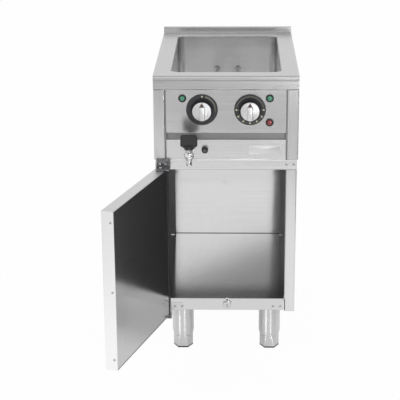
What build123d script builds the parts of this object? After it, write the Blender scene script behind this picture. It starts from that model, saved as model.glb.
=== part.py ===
from build123d import *
from math import cos, radians, sin
import os

# Bain marie on a cabinet, standing on the floor: +Z up, the front looks along -Y, millimetres.
# The origin is on the floor, in the middle of the footprint with the door as photographed.

# Sheets, folds and clearances
sheet = 1.5
top_sheet = 2.0
bend = 2.0
hem = 15.0
seat_gap = 0.1
run_fit = 0.05
run_gap = 0.4

# Heights, from the floor up
foot_height = 39.0
leg_length = 96.5
rail_lift = 2.5
rail_height = 37.0
opening_height = 387.5
crossbar_height = 29.5
apron_height = 57.5
recess_height = 19.0
panel_height = 122.0
fascia_height = 23.5
groove_height = 5.5
edge_height = 11.5
upstand_height = 19.0

# Worktop and well
edge_proud = 3.0
edge_round = 5.0
groove_set = 2.5
groove_round = 1.5
upstand_depth = 8.0
rear_skirt = 31.0
well_width = 304.0
well_length = 510.0
well_depth = 160.0
front_rim = 46.0
side_rim = 48.0
rear_rim = 36.0
well_wall = 1.5
well_corner = 25.0
well_floor_round = 18.0
lip_height = 8.0
lip_wall = 7.0
lip_round = 5.0

# Upper front
post_width = 31.0
panel_gap = 4.0
panel_set = 1.0
recess_depth = 19.5
tray_set = 24.0
vent_width = 40.0
vent_height = 5.0
vent_pitch_x = 60.0
vent_pitch_z = 14.0
vent_columns = 4
vent_rows = 4
vent_drop = 60.0

# Dials and knobs
dial_pitch = 54.0
dial_drop = 55.5
dial_diameter = 87.0
dial_thick = 4.0
dial_bevel = 1.5
knob_diameter = 54.0
knob_height = 18.5
knob_round = 0.9
cap_diameter = 52.0
cap_thick = 2.0
cap_round = 0.8
ridge_width = 15.0
ridge_height = 7.0
ridge_round = 2.0
pointer_width = 9.0
pointer_length = 9.0
pointer_rim = 2.5
shaft_diameter = 6.0
shaft_chamfer = 0.5
shaft_grip = 14.0
shaft_tail = 18.0
bushing_diameter = 10.0
bushing_proud = 3.0
switch_size = 46.0
switch_depth = 38.0
thermostat_size = 42.0
thermostat_depth = 34.0
spindle_clear = 2.0

# Lamps
lamp_inset = 45.0
lamp_drop = 23.5
red_lamp_drop = 91.5
bezel_diameter = 22.5
bezel_thick = 3.0
bezel_bevel = 1.0
barrel_diameter = 13.0
barrel_length = 28.0
lens_diameter = 15.5
lens_seat = 2.0
lens_dome = 2.2
lens_round = 2.0

# Reset button and safety thermostat
reset_pitch = 40.5
reset_rise = 29.5
collar_diameter = 18.0
collar_height = 12.0
collar_round = 1.5
button_diameter = 10.0
button_proud = 4.0
button_length = 10.0
button_travel = 3.0
button_round = 1.0
tail_diameter = 12.0
tail_length = 12.0
limiter_size = 30.0
limiter_depth = 24.0

# Nameplate
plate_width = 88.0
plate_height = 27.0
plate_thick = 1.0
plate_corner = 2.0
plate_inset = 14.5
plate_rise = 28.5

# Drain and tap
tap_inset = 66.0
tap_rise = 34.0
tap_reach = 78.0
tap_ball = 26.0
tap_tail_diameter = 18.0
tap_tail_length = 11.0
tap_bore = 10.0
tap_nut_size = 27.0
tap_nut_thick = 9.0
locknut_size = 30.0
locknut_thick = 7.0
spout_diameter = 15.0
spout_drop = 28.0
spout_round = 1.2
neck_diameter = 15.0
neck_height = 18.0
valve_ball = 16.6
stem_diameter = 8.0
lever_width = 46.0
lever_height = 30.0
lever_thick = 15.0
lever_round = 4.0
lever_drop = 8.0
hub_diameter = 27.0
hub_height = 11.0
stem_grip = 16.0
drain_diameter = 22.0
drain_wall = 2.0
drain_back = 76.0
drain_turn = 20.0
drain_flange = 36.0
drain_flange_thick = 2.0

# Heating element
element_diameter = 8.5
element_spread = 66.0
element_drop = 108.0
element_lead = 36.0
element_fall = 28.0
element_inset = 110.0
element_turn = 14.0
element_tail = 24.0
nut_size = 17.0
nut_thick = 6.0

# Cable gland on the rear
gland_inset = 70.0
gland_rise = 40.0
gland_bore = 10.0
gland_thread = 20.0
gland_size = 27.0
gland_thick = 10.0
gland_tail = 9.0

# Cabinet
cabinet_inset = 3.0
cabinet_post_width = 30.0
cabinet_return = 20.0
rail_gap = 2.0
back_gap = 52.0
crossbar_depth = 22.0

# Door and hinges
door_side_gap = 3.0
door_thick = 34.0
door_open = 107.9
door_top_gap = 8.0
door_bottom_drop = 7.5
door_stand = 8.0
liner_set = 1.0
liner_flange = 20.0
hinge_set = 13.0
hinge_back = 17.0
pin_diameter = 8.0
pin_depth = 14.0
pin_head = 1.6
bush_diameter = 14.0
bush_length = 12.0
bush_collar = 18.0
rivet_diameter = 6.0
rivet_head = 1.2
rivet_shank = 3.2
rivet_edge = 8.5
rivet_end = 30.0
bracket_plate = 2.5
bracket_gap = 1.0
top_bracket_width = 39.0
top_bracket_lap = 4.0
bracket_reach = 15.0
bottom_bracket_width = 70.0
bottom_bracket_rise = 23.5
bracket_round = 3.0

# Front screws
screw_head = 7.0
screw_head_height = 1.4
screw_round = 0.7
screw_shank = 4.0
screw_length = 7.0
screw_hole = 4.2
top_screw_rise = 16.0
top_screw_inset = 9.5
top_screw_pitch = 15.0
crossbar_screw_inset = 8.5
crossbar_screw_pitch = 20.5
rail_screw_rise = 12.5
rail_screw_end = 18.0
rail_screw_pitch = 20.5

# Door catch on the rail
catch_x = 3.0
catch_rise = 16.5
catch_diameter = 23.0
catch_height = 5.0
catch_dish = 12.0
catch_dish_depth = 1.5
catch_lug_width = 9.0
catch_lug_rise = 19.0
catch_lug_thick = 2.0
catch_hole = 3.5

# Legs and feet
leg_diameter = 62.0
leg_wall = 1.5
leg_front = 65.0
leg_side_gap = 1.5
leg_rear_gap = 8.0
leg_flange = 80.0
leg_flange_thick = 3.0
sleeve_height = 14.0
taper_height = 13.0
taper_set = 2.8
foot_body = 56.2
foot_hex = 48.6
foot_hex_lean = 4.0
foot_diameter = 53.0
foot_length = 112.0
foot_wall = 5.0
foot_base = 12.0
foot_gap = 0.3
foot_edge = 1.5

# Levels worked out from the heights
z_base = foot_height + leg_length
z_rail = z_base + rail_lift
z_floor = z_rail + rail_height
z_crossbar = z_floor + opening_height
z_upper = z_crossbar + crossbar_height
z_recess = z_upper + apron_height
z_panel = z_recess + recess_height
z_fascia = z_panel + panel_height
z_groove = z_fascia + fascia_height
z_edge = z_groove + groove_height
z_top = z_edge + edge_height
z_well = z_top - well_depth
z_skirt = z_top - rear_skirt

# Places worked out across and into the body: x from its centre line, y from its front face
body_width = well_width + 2 * side_rim
body_depth = front_rim + well_length + rear_rim + upstand_depth
half = body_width / 2
cabinet_half = half - cabinet_inset
post_edge = cabinet_half - cabinet_post_width
liner_face = post_edge + sheet
panel_half = half - post_width - panel_gap
rail_half = post_edge - rail_gap
wall_back = body_depth - sheet
upstand_face = body_depth - upstand_depth
inner_depth = body_depth - back_gap
well_back = front_rim + well_length
well_middle = front_rim + well_length / 2
channel_front = panel_set + recess_depth
lamp_x = panel_half - lamp_inset
dial_x = lamp_x - dial_pitch
tap_x = tap_inset - panel_half
reset_x = tap_x + reset_pitch
plate_x = panel_half - plate_inset - plate_width / 2
gland_x = half - gland_inset
leg_x = liner_face - leg_side_gap - leg_flange / 2
leg_rear = inner_depth - leg_rear_gap - leg_flange / 2
dial_z = z_fascia - dial_drop
reset_z = z_upper + reset_rise
tap_z = z_upper + tap_rise
rail_screw_z = z_rail + rail_screw_rise

# Door places: along the door from the hinge axis, and inwards from it
door_width = 2 * (cabinet_half - door_side_gap)
door_reach = door_width - hinge_set
door_outer = door_thick - hinge_back
door_top = z_crossbar + door_top_gap
door_bottom = z_rail - door_bottom_drop
hinge_x = -door_width / 2 + hinge_set
hinge_y = -door_stand - hinge_back
open_turn = radians(door_open)

# The body's place in the frame, so that the footprint with the open door is centred on the origin
door_corners = [(s, n) for s in (-hinge_set, door_reach) for n in (-door_outer, hinge_back)]
corner_x = [hinge_x + s * cos(open_turn) + n * sin(open_turn) for s, n in door_corners]
corner_y = [hinge_y - s * sin(open_turn) + n * cos(open_turn) for s, n in door_corners]
centre_x = -(min(-half, *corner_x) + half) / 2
front_y = -(min(-edge_proud, *corner_y) + body_depth + gland_thick) / 2


def level(z):
    """Horizontal plane: x across the body, y into it from the front face."""
    return Plane(origin=(centre_x, front_y, z))


def facing(y):
    """Upright plane that looks forward at a depth: x across the body, y up."""
    return Plane(origin=(centre_x, front_y + y, 0), x_dir=(1, 0, 0), z_dir=(0, -1, 0))


def side(x):
    """Upright plane across the body: x into the body from the front face, y up."""
    return Plane(origin=(centre_x + x, front_y, 0), x_dir=(0, 1, 0), z_dir=(1, 0, 0))


def door_level(z):
    """Horizontal plane on the hinge axis: x along the open door, y towards its inner face."""
    along = (cos(open_turn), -sin(open_turn), 0)
    return Plane(origin=(centre_x + hinge_x, front_y + hinge_y, z), x_dir=along, z_dir=(0, 0, 1))


def door_end(reach):
    """Upright plane across the open door, looking away from the hinge: x inwards, y up."""
    along = Vector(cos(open_turn), -sin(open_turn), 0)
    inward = (sin(open_turn), cos(open_turn), 0)
    axis = Vector(centre_x + hinge_x, front_y + hinge_y, 0)
    return Plane(origin=axis + along * reach, x_dir=inward, z_dir=along)


def folded(plane, points, thickness, radii):
    """Section of a folded sheet, drawn from the middle line of the sheet."""
    with BuildSketch(plane) as section:
        with BuildLine():
            FilletPolyline(*points, radius=radii)
        trace(line_width=thickness)
    return section.sketch


def rectangle(plane, x0, x1, y0, y1):
    """Rectangle on a plane, from its edges."""
    with BuildSketch(plane) as outline:
        with Locations(((x0 + x1) / 2, (y0 + y1) / 2)):
            Rectangle(x1 - x0, y1 - y0)
    return outline.sketch


def disc(plane, x, y, diameter):
    """Circle on a plane."""
    with BuildSketch(plane) as outline:
        with Locations((x, y)):
            Circle(diameter / 2)
    return outline.sketch


def hexagon(plane, x, y, size):
    """Hexagon on a plane, by its size across flats."""
    with BuildSketch(plane) as outline:
        with Locations((x, y)):
            RegularPolygon(size / 2, 6, major_radius=False)
    return outline.sketch


def well_outline(plane, grow):
    """The well's rounded outline in plan, grown outwards."""
    with BuildSketch(plane) as outline:
        with Locations((0, well_middle)):
            RectangleRounded(well_width + 2 * grow, well_length + 2 * grow, well_corner + grow)
    return outline.sketch


os.makedirs("parts", exist_ok=True)

# Worktop: one sheet folded from the fascia over the rolled front edge to the upstand, with end caps
half_top = top_sheet / 2
front_line = -edge_proud + half_top
cap_depth = hem
front_path = [
    (half_top, z_fascia + half_top),
    (half_top, z_groove),
    (half_top + groove_set, z_groove + groove_height / 2),
    (front_line, z_edge),
    (front_line, z_top - half_top),
    (upstand_face + half_top, z_top - half_top),
]
front_radii = [groove_round, groove_round, groove_round, edge_round]
back_path = [
    (upstand_face + half_top, z_top + upstand_height - half_top),
    (body_depth - half_top, z_top + upstand_height - half_top),
    (body_depth - half_top, z_skirt),
]
top_path = [(hem, z_fascia + half_top)] + front_path + back_path
top_radii = [bend] + front_radii + [bend, bend, bend]
with BuildPart() as worktop:
    extrude(folded(side(-half), top_path, top_sheet, top_radii), amount=body_width)
    for cap_x in (-half, half - top_sheet):
        with BuildSketch(side(cap_x)):
            with BuildLine():
                FilletPolyline(*front_path, radius=front_radii)
                Polyline(
                    front_path[-1],
                    (upstand_face + half_top, z_edge),
                    (cap_depth, z_edge),
                    (cap_depth, z_fascia + half_top),
                    front_path[0],
                )
            make_face()
        extrude(amount=top_sheet)
        extrude(rectangle(side(cap_x), upstand_face + half_top, body_depth - half_top, z_edge,
                          z_top + upstand_height - half_top), amount=top_sheet)
    extrude(well_outline(level(z_top - lip_height), lip_wall), amount=lip_height - half_top)
    extrude(well_outline(level(z_top), 0), amount=-lip_height, mode=Mode.SUBTRACT)
    top_face = worktop.faces().filter_by(Axis.Z).sort_by(SortBy.AREA)[-1]
    fillet(top_face.inner_wires()[0].edges(), radius=lip_round)
worktop.part.label = "worktop"
export_step(worktop.part, "parts/worktop.step")

# Well: a deep drawn tank under the worktop's lip, with holes for the drain and the element
well_rim = z_top - lip_height
element_z = z_top - element_drop
with BuildPart() as well:
    extrude(well_outline(level(z_well - well_wall), well_wall), amount=well_rim - z_well + well_wall)
    fillet(well.faces().sort_by(Axis.Z)[0].edges(), radius=well_floor_round + well_wall)
    offset(amount=-well_wall, openings=well.faces().sort_by(Axis.Z)[-1])
    with BuildSketch(level(well_rim - well_wall)):
        add(well_outline(Plane.XY, lip_wall))
        add(well_outline(Plane.XY, well_wall / 2), mode=Mode.SUBTRACT)
    extrude(amount=well_wall)
    extrude(disc(level(z_well), tap_x, drain_back, drain_diameter + 2 * seat_gap),
            amount=-2 * well_wall, mode=Mode.SUBTRACT)
    for end in (-1, 1):
        extrude(disc(facing(well_back - well_wall), end * element_spread / 2, element_z,
                     element_diameter + 2 * seat_gap), amount=-3 * well_wall, mode=Mode.SUBTRACT)
well.part.label = "well"
export_step(well.part, "parts/well.step")

# Upper side panels: each folds round the front into a post
for name, sign in (("left", -1), ("right", 1)):
    side_path = [
        (sign * (half - post_width + sheet / 2), hem),
        (sign * (half - post_width + sheet / 2), sheet / 2),
        (sign * (half - sheet / 2), sheet / 2),
        (sign * (half - sheet / 2), wall_back),
    ]
    with BuildPart() as upper_side:
        extrude(folded(level(z_upper), side_path, sheet, bend), amount=z_fascia - z_upper)
        wall_x = half - sheet if sign > 0 else -half
        extrude(rectangle(side(wall_x), cap_depth, body_depth - top_sheet, z_fascia, z_edge), amount=sheet)
    upper_side.part.label = f"upper_side_{name}"
    export_step(upper_side.part, f"parts/upper_side_{name}.step")

# Rear panel: one plate behind the upper part and the cabinet, with vents and the gland's hole
gland_z = z_upper + gland_rise
with BuildPart() as rear_panel:
    extrude(rectangle(facing(body_depth), -half, half, z_upper, z_skirt), amount=sheet)
    extrude(rectangle(facing(body_depth), -cabinet_half, cabinet_half, z_base, z_upper), amount=sheet)
    with BuildSketch(facing(body_depth)):
        with Locations((0, z_skirt - vent_drop)):
            with GridLocations(vent_pitch_x, vent_pitch_z, vent_columns, vent_rows):
                SlotOverall(vent_width, vent_height)
        with Locations((gland_x, gland_z)):
            Circle(gland_thread / 2 + seat_gap)
    extrude(amount=sheet, mode=Mode.SUBTRACT)
rear_panel.part.label = "rear_panel"
export_step(rear_panel.part, "parts/rear_panel.step")

# Base tray: closes the upper part over the cabinet
with BuildPart() as base_tray:
    extrude(rectangle(level(z_upper), -half + sheet, half - sheet, tray_set, wall_back), amount=sheet)
base_tray.part.label = "base_tray"
export_step(base_tray.part, "parts/base_tray.step")

# Control panel: hemmed sheet with holes for the dials and lamps
panel_line = panel_set + sheet / 2
panel_path = [
    (hem, z_fascia - sheet / 2),
    (panel_line, z_fascia - sheet / 2),
    (panel_line, z_panel + sheet / 2),
    (channel_front, z_panel + sheet / 2),
]
lamps = {
    "lamp_left": (-lamp_x, z_fascia - lamp_drop),
    "lamp_right": (lamp_x, z_fascia - lamp_drop),
    "lamp_low": (lamp_x, z_fascia - red_lamp_drop),
}
panel_face = panel_set + sheet
with BuildPart() as control_panel:
    extrude(folded(side(-panel_half), panel_path, sheet, bend), amount=2 * panel_half)
    for hem_x in (-panel_half, panel_half - sheet):
        extrude(rectangle(side(hem_x), panel_line, hem, z_panel + sheet / 2, z_fascia - sheet / 2),
                amount=sheet)
    with BuildSketch(facing(panel_face)):
        with Locations((-dial_x, dial_z), (dial_x, dial_z)):
            Circle(bushing_diameter / 2 + seat_gap)
        with Locations(*lamps.values()):
            Circle(barrel_diameter / 2 + seat_gap)
    extrude(amount=sheet, mode=Mode.SUBTRACT)
control_panel.part.label = "control_panel"
export_step(control_panel.part, "parts/control_panel.step")

# Recess channel: the back of the finger recess between control panel and apron
with BuildPart() as recess_channel:
    extrude(rectangle(facing(channel_front), -panel_half, panel_half, z_recess - hem / 2, z_panel + hem / 2),
            amount=-sheet)
recess_channel.part.label = "recess_channel"
export_step(recess_channel.part, "parts/recess_channel.step")

# Apron panel: hemmed sheet with holes for the tap and the reset collar
apron_path = [
    (hem, z_upper + sheet / 2),
    (panel_line, z_upper + sheet / 2),
    (panel_line, z_recess - sheet / 2),
    (channel_front, z_recess - sheet / 2),
]
with BuildPart() as apron_panel:
    extrude(folded(side(-panel_half), apron_path, sheet, bend), amount=2 * panel_half)
    for hem_x in (-panel_half, panel_half - sheet):
        extrude(rectangle(side(hem_x), panel_line, hem, z_upper + sheet / 2, z_recess - sheet / 2),
                amount=sheet)
    with BuildSketch(facing(panel_face)):
        with Locations((tap_x, tap_z)):
            Circle(tap_tail_diameter / 2 + seat_gap)
        with Locations((reset_x, reset_z)):
            Circle(tail_diameter / 2 + seat_gap)
    extrude(amount=sheet, mode=Mode.SUBTRACT)
apron_panel.part.label = "apron_panel"
export_step(apron_panel.part, "parts/apron_panel.step")

# Nameplate: blank, on the apron
with BuildPart() as nameplate:
    with BuildSketch(facing(panel_set)):
        with Locations((plate_x, z_upper + plate_rise)):
            RectangleRounded(plate_width, plate_height, plate_corner)
    extrude(amount=plate_thick)
nameplate.part.label = "nameplate"
export_step(nameplate.part, "parts/nameplate.step")

# Dials: a fixed ring on the panel, a switch or thermostat behind it and a knob with a cap on its shaft
dial_front = panel_set - dial_thick
knob_back = dial_front - run_gap
knob_front = knob_back - knob_height
cap_front = knob_front - cap_thick
shaft_end = knob_back - shaft_grip
dials = (
    ("switch", -dial_x, switch_size, switch_depth),
    ("thermostat", dial_x, thermostat_size, thermostat_depth),
)
for name, knob_x, case_size, case_depth in dials:
    with BuildPart() as dial_ring:
        extrude(disc(facing(panel_set), knob_x, dial_z, dial_diameter), amount=dial_thick)
        chamfer(dial_ring.faces().sort_by(Axis.Y)[0].edges(), length=dial_bevel)
        extrude(disc(facing(panel_set), knob_x, dial_z, bushing_diameter + 2 * seat_gap),
                amount=dial_thick, mode=Mode.SUBTRACT)
    dial_ring.part.label = f"{name}_dial"
    export_step(dial_ring.part, f"parts/{name}_dial.step")

    with BuildPart() as knob:
        extrude(disc(facing(knob_back), knob_x, dial_z, knob_diameter), amount=knob_height)
        fillet(knob.faces().sort_by(Axis.Y)[0].edges(), radius=knob_round)
        extrude(disc(facing(knob_back), knob_x, dial_z, shaft_diameter + 2 * run_fit),
                amount=shaft_grip, mode=Mode.SUBTRACT)
    knob.part.label = f"{name}_knob"
    export_step(knob.part, f"parts/{name}_knob.step")

    with BuildPart() as cap:
        extrude(disc(facing(knob_front), knob_x, dial_z, cap_diameter), amount=cap_thick)
        fillet(cap.faces().sort_by(Axis.Y)[0].edges(), radius=cap_round)
        ridge_reach = cap_diameter / 2 - pointer_rim - cap_round
        with BuildSketch(facing(cap_front)):
            with Locations((knob_x, dial_z)):
                Circle(ridge_reach)
                Rectangle(ridge_width, cap_diameter, mode=Mode.INTERSECT)
                with Locations((0, ridge_reach - pointer_length / 2)):
                    Rectangle(ridge_width, pointer_length, mode=Mode.SUBTRACT)
        extrude(amount=ridge_height)
        fillet(cap.faces().sort_by(Axis.Y)[0].edges(), radius=ridge_round)
        with BuildSketch(facing(knob_front)):
            with Locations((knob_x, dial_z + cap_diameter / 2 - pointer_rim - pointer_length)):
                with BuildLine():
                    Polyline((-pointer_width / 2, 0), (pointer_width / 2, 0), (0, pointer_length), close=True)
                make_face()
        extrude(amount=cap_thick, mode=Mode.SUBTRACT)
    cap.part.label = f"{name}_cap"
    export_step(cap.part, f"parts/{name}_cap.step")

    with BuildPart() as shaft:
        extrude(disc(facing(panel_face + shaft_tail), knob_x, dial_z, shaft_diameter),
                amount=panel_face + shaft_tail - shaft_end)
        chamfer(shaft.edges(), length=shaft_chamfer)
    shaft.part.label = f"{name}_shaft"
    export_step(shaft.part, f"parts/{name}_shaft.step")

    with BuildPart() as case:
        extrude(rectangle(facing(panel_face), knob_x - case_size / 2, knob_x + case_size / 2,
                          dial_z - case_size / 2, dial_z + case_size / 2), amount=-case_depth)
        fillet(case.edges().filter_by(Axis.Y), radius=bend)
        extrude(disc(facing(panel_face), knob_x, dial_z, bushing_diameter), amount=sheet + bushing_proud)
        extrude(disc(facing(dial_front), knob_x, dial_z, shaft_diameter + 2 * run_fit),
                amount=-(panel_face + shaft_tail + spindle_clear - dial_front), mode=Mode.SUBTRACT)
    case.part.label = f"{name}_body"
    export_step(case.part, f"parts/{name}_body.step")

# Lamps: a bezel with its barrel through the panel, and a domed lens seated in it
for name, (bezel_x, bezel_z) in lamps.items():
    bezel_front = panel_set - bezel_thick
    with BuildPart() as bezel:
        extrude(disc(facing(panel_set), bezel_x, bezel_z, bezel_diameter), amount=bezel_thick)
        chamfer(bezel.faces().sort_by(Axis.Y)[0].edges(), length=bezel_bevel)
        extrude(disc(facing(panel_set), bezel_x, bezel_z, barrel_diameter), amount=-barrel_length)
        lens_hole = disc(facing(bezel_front), bezel_x, bezel_z, lens_diameter)
        extrude(lens_hole, amount=-lens_seat, mode=Mode.SUBTRACT)
    bezel.part.label = f"{name}_bezel"
    export_step(bezel.part, f"parts/{name}_bezel.step")

    with BuildPart() as lens:
        extrude(disc(facing(bezel_front + lens_seat), bezel_x, bezel_z, lens_diameter - 2 * seat_gap),
                amount=lens_seat + lens_dome)
        fillet(lens.faces().sort_by(Axis.Y)[0].edges(), radius=lens_round)
    lens.part.label = f"{name}_lens"
    export_step(lens.part, f"parts/{name}_lens.step")

# Reset: a collar on the apron, the limiter that its tail holds behind it, and the button in its bore
collar_front = panel_set - collar_height
button_back = collar_front - button_proud + button_length
with BuildPart() as reset_collar:
    extrude(disc(facing(panel_set), reset_x, reset_z, collar_diameter), amount=collar_height)
    fillet(reset_collar.faces().sort_by(Axis.Y)[0].edges(), radius=collar_round)
    extrude(disc(facing(panel_set), reset_x, reset_z, tail_diameter), amount=-tail_length)
    extrude(disc(facing(collar_front), reset_x, reset_z, button_diameter + 2 * run_gap),
            amount=-(button_back + button_travel + run_gap - collar_front), mode=Mode.SUBTRACT)
reset_collar.part.label = "reset_collar"
export_step(reset_collar.part, "parts/reset_collar.step")

with BuildPart() as reset_button:
    extrude(disc(facing(button_back), reset_x, reset_z, button_diameter), amount=button_length)
    fillet(reset_button.faces().sort_by(Axis.Y)[0].edges(), radius=button_round)
reset_button.part.label = "reset_button"
export_step(reset_button.part, "parts/reset_button.step")

with BuildPart() as limiter:
    extrude(rectangle(facing(panel_set + tail_length), reset_x - limiter_size / 2, reset_x + limiter_size / 2,
                      reset_z - limiter_size / 2, reset_z + limiter_size / 2), amount=-limiter_depth)
    fillet(limiter.edges().filter_by(Axis.Y), radius=bend)
limiter.part.label = "safety_limiter"
export_step(limiter.part, "parts/safety_limiter.step")

# Drain pipe: from a flange under the well down and forward to the tap's tail
drain_top = z_well - well_wall
tail_end = panel_face + tap_tail_length
with BuildPart() as drain_pipe:
    with BuildLine(side(tap_x)) as drain_route:
        FilletPolyline((drain_back, z_well), (drain_back, tap_z), (tail_end, tap_z), radius=drain_turn)
    with BuildSketch(level(z_well)):
        with Locations((tap_x, drain_back)):
            Circle(drain_diameter / 2)
            Circle(drain_diameter / 2 - drain_wall, mode=Mode.SUBTRACT)
    sweep(path=drain_route.wire())
    with BuildSketch(level(drain_top)):
        with Locations((tap_x, drain_back)):
            Circle(drain_flange / 2)
            Circle(drain_diameter / 2 - drain_wall, mode=Mode.SUBTRACT)
    extrude(amount=-drain_flange_thick)
drain_pipe.part.label = "drain_pipe"
export_step(drain_pipe.part, "parts/drain_pipe.step")

# Tap: body with tail, neck and spout round a turning ball, whose stem carries the lever
tap_y = panel_set - tap_reach
neck_top = tap_z + neck_height
lever_base = neck_top + run_gap
lever_top = lever_base + hub_height + lever_height
tap_centre = Vector(centre_x + tap_x, front_y + tap_y, tap_z)
with BuildPart() as tap_body:
    with Locations(tap_centre):
        Sphere(tap_ball / 2)
    extrude(disc(facing(tail_end), tap_x, tap_z, tap_tail_diameter), amount=tail_end - tap_y)
    extrude(hexagon(facing(panel_set), tap_x, tap_z, tap_nut_size), amount=tap_nut_thick)
    extrude(disc(level(tap_z), tap_x, tap_y, spout_diameter), amount=-spout_drop)
    extrude(disc(level(tap_z), tap_x, tap_y, neck_diameter), amount=neck_height)
    fillet(tap_body.faces().sort_by(Axis.Z)[0].edges(), radius=spout_round)
    with Locations(tap_centre):
        Sphere(valve_ball / 2 + run_gap, mode=Mode.SUBTRACT)
    extrude(disc(facing(tail_end), tap_x, tap_z, tap_bore), amount=tail_end - tap_y, mode=Mode.SUBTRACT)
    extrude(disc(level(tap_z), tap_x, tap_y, tap_bore), amount=-spout_drop, mode=Mode.SUBTRACT)
    extrude(disc(level(tap_z), tap_x, tap_y, stem_diameter + 2 * run_fit), amount=neck_height,
            mode=Mode.SUBTRACT)
tap_body.part.label = "tap_body"
export_step(tap_body.part, "parts/tap_body.step")

stem_top = lever_base + stem_grip
with BuildPart() as tap_stem:
    with Locations(tap_centre):
        Sphere(valve_ball / 2)
    extrude(disc(side(tap_x), tap_y, tap_z, tap_bore), amount=valve_ball, mode=Mode.SUBTRACT)
    extrude(disc(level(tap_z), tap_x, tap_y, tap_bore), amount=-valve_ball, mode=Mode.SUBTRACT)
    extrude(disc(level(tap_z + tap_bore / 2 + drain_wall / 2), tap_x, tap_y, stem_diameter),
            amount=stem_top - tap_z - tap_bore / 2 - drain_wall / 2)
tap_stem.part.label = "tap_stem"
export_step(tap_stem.part, "parts/tap_stem.step")

with BuildPart() as tap_lever:
    extrude(disc(level(lever_base), tap_x, tap_y, hub_diameter), amount=hub_height)
    with BuildSketch(facing(tap_y + lever_thick / 2)):
        with BuildLine():
            Polyline(
                (tap_x - hub_diameter / 2 + lever_round, lever_base + hub_height - lever_drop),
                (tap_x + hub_diameter / 2 - lever_round, lever_base + hub_height - lever_drop),
                (tap_x + lever_width / 2, lever_base + hub_height),
                (tap_x + lever_width / 2, lever_top),
                (tap_x - lever_width / 2, lever_top),
                (tap_x - lever_width / 2, lever_base + hub_height),
                close=True,
            )
        make_face()
    extrude(amount=lever_thick)
    fillet(tap_lever.edges().filter_by(Axis.Y).group_by(Axis.Z)[-1], radius=lever_round)
    extrude(disc(level(lever_base), tap_x, tap_y, stem_diameter + 2 * run_fit), amount=stem_grip,
            mode=Mode.SUBTRACT)
tap_lever.part.label = "tap_lever"
export_step(tap_lever.part, "parts/tap_lever.step")

with BuildPart() as tap_locknut:
    extrude(hexagon(facing(panel_face), tap_x, tap_z, locknut_size), amount=-locknut_thick)
    extrude(disc(facing(panel_face), tap_x, tap_z, tap_tail_diameter + 2 * seat_gap),
            amount=-locknut_thick, mode=Mode.SUBTRACT)
tap_locknut.part.label = "tap_locknut"
export_step(tap_locknut.part, "parts/tap_locknut.step")

# Heating element: a bent tube through the well's back wall, held by a nut on each end
element_low = element_z - element_fall
element_front = front_rim + element_inset
reach_x = element_spread / 2
with BuildPart() as heating_element:
    with BuildLine(level(0)) as element_route:
        FilletPolyline(
            (-reach_x, well_back + element_tail, element_z),
            (-reach_x, well_back - element_lead, element_z),
            (-reach_x, well_back - element_lead - element_fall, element_low),
            (-reach_x, element_front, element_low),
            (reach_x, element_front, element_low),
            (reach_x, well_back - element_lead - element_fall, element_low),
            (reach_x, well_back - element_lead, element_z),
            (reach_x, well_back + element_tail, element_z),
            radius=element_turn,
        )
    with BuildSketch(facing(well_back + element_tail)):
        with Locations((-reach_x, element_z)):
            Circle(element_diameter / 2)
    sweep(path=element_route.wire())
heating_element.part.label = "heating_element"
export_step(heating_element.part, "parts/heating_element.step")

with BuildPart() as element_nuts:
    for end in (-1, 1):
        extrude(hexagon(facing(well_back), end * reach_x, element_z, nut_size), amount=nut_thick)
        extrude(disc(facing(well_back), end * reach_x, element_z, element_diameter + 2 * seat_gap),
                amount=nut_thick, mode=Mode.SUBTRACT)
element_nuts.part.label = "element_nuts"
export_step(element_nuts.part, "parts/element_nuts.step")

# Cable gland: threaded body in the rear panel, with a hexagon outside and a tail inside
with BuildPart() as cable_gland:
    extrude(hexagon(facing(body_depth), gland_x, gland_z, gland_size), amount=-gland_thick)
    extrude(disc(facing(body_depth), gland_x, gland_z, gland_thread), amount=sheet + gland_tail)
    extrude(disc(facing(body_depth + gland_thick), gland_x, gland_z, gland_bore),
            amount=gland_thick + sheet + gland_tail, mode=Mode.SUBTRACT)
cable_gland.part.label = "cable_gland"
export_step(cable_gland.part, "parts/cable_gland.step")

# Cabinet sides: an outer wall folded round the front into a post, and a liner against its return
for name, sign in (("left", -1), ("right", 1)):
    side_path = [
        (sign * (post_edge + sheet / 2), cabinet_return),
        (sign * (post_edge + sheet / 2), sheet / 2),
        (sign * (cabinet_half - sheet / 2), sheet / 2),
        (sign * (cabinet_half - sheet / 2), wall_back),
    ]
    with BuildPart() as cabinet_side:
        extrude(folded(level(z_base), side_path, sheet, bend), amount=z_crossbar - z_base)
        wall_x = cabinet_half - sheet if sign > 0 else -cabinet_half
        extrude(rectangle(side(wall_x), crossbar_depth, wall_back, z_crossbar, z_upper), amount=sheet)
    cabinet_side.part.label = f"cabinet_side_{name}"
    export_step(cabinet_side.part, f"parts/cabinet_side_{name}.step")

    with BuildPart() as cabinet_liner:
        with BuildSketch(side(liner_face if sign > 0 else -liner_face - sheet)):
            with BuildLine():
                Polyline(
                    (sheet + bend, z_rail),
                    (inner_depth, z_rail),
                    (inner_depth, z_upper),
                    (crossbar_depth, z_upper),
                    (crossbar_depth, z_crossbar),
                    (sheet + bend, z_crossbar),
                    close=True,
                )
            make_face()
        extrude(amount=sheet)
    cabinet_liner.part.label = f"cabinet_liner_{name}"
    export_step(cabinet_liner.part, f"parts/cabinet_liner_{name}.step")

# Inner back of the cabinet
with BuildPart() as cabinet_back:
    extrude(rectangle(facing(inner_depth), -liner_face - sheet, liner_face + sheet, z_rail, z_upper),
            amount=-sheet)
cabinet_back.part.label = "cabinet_back"
export_step(cabinet_back.part, "parts/cabinet_back.step")

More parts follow.
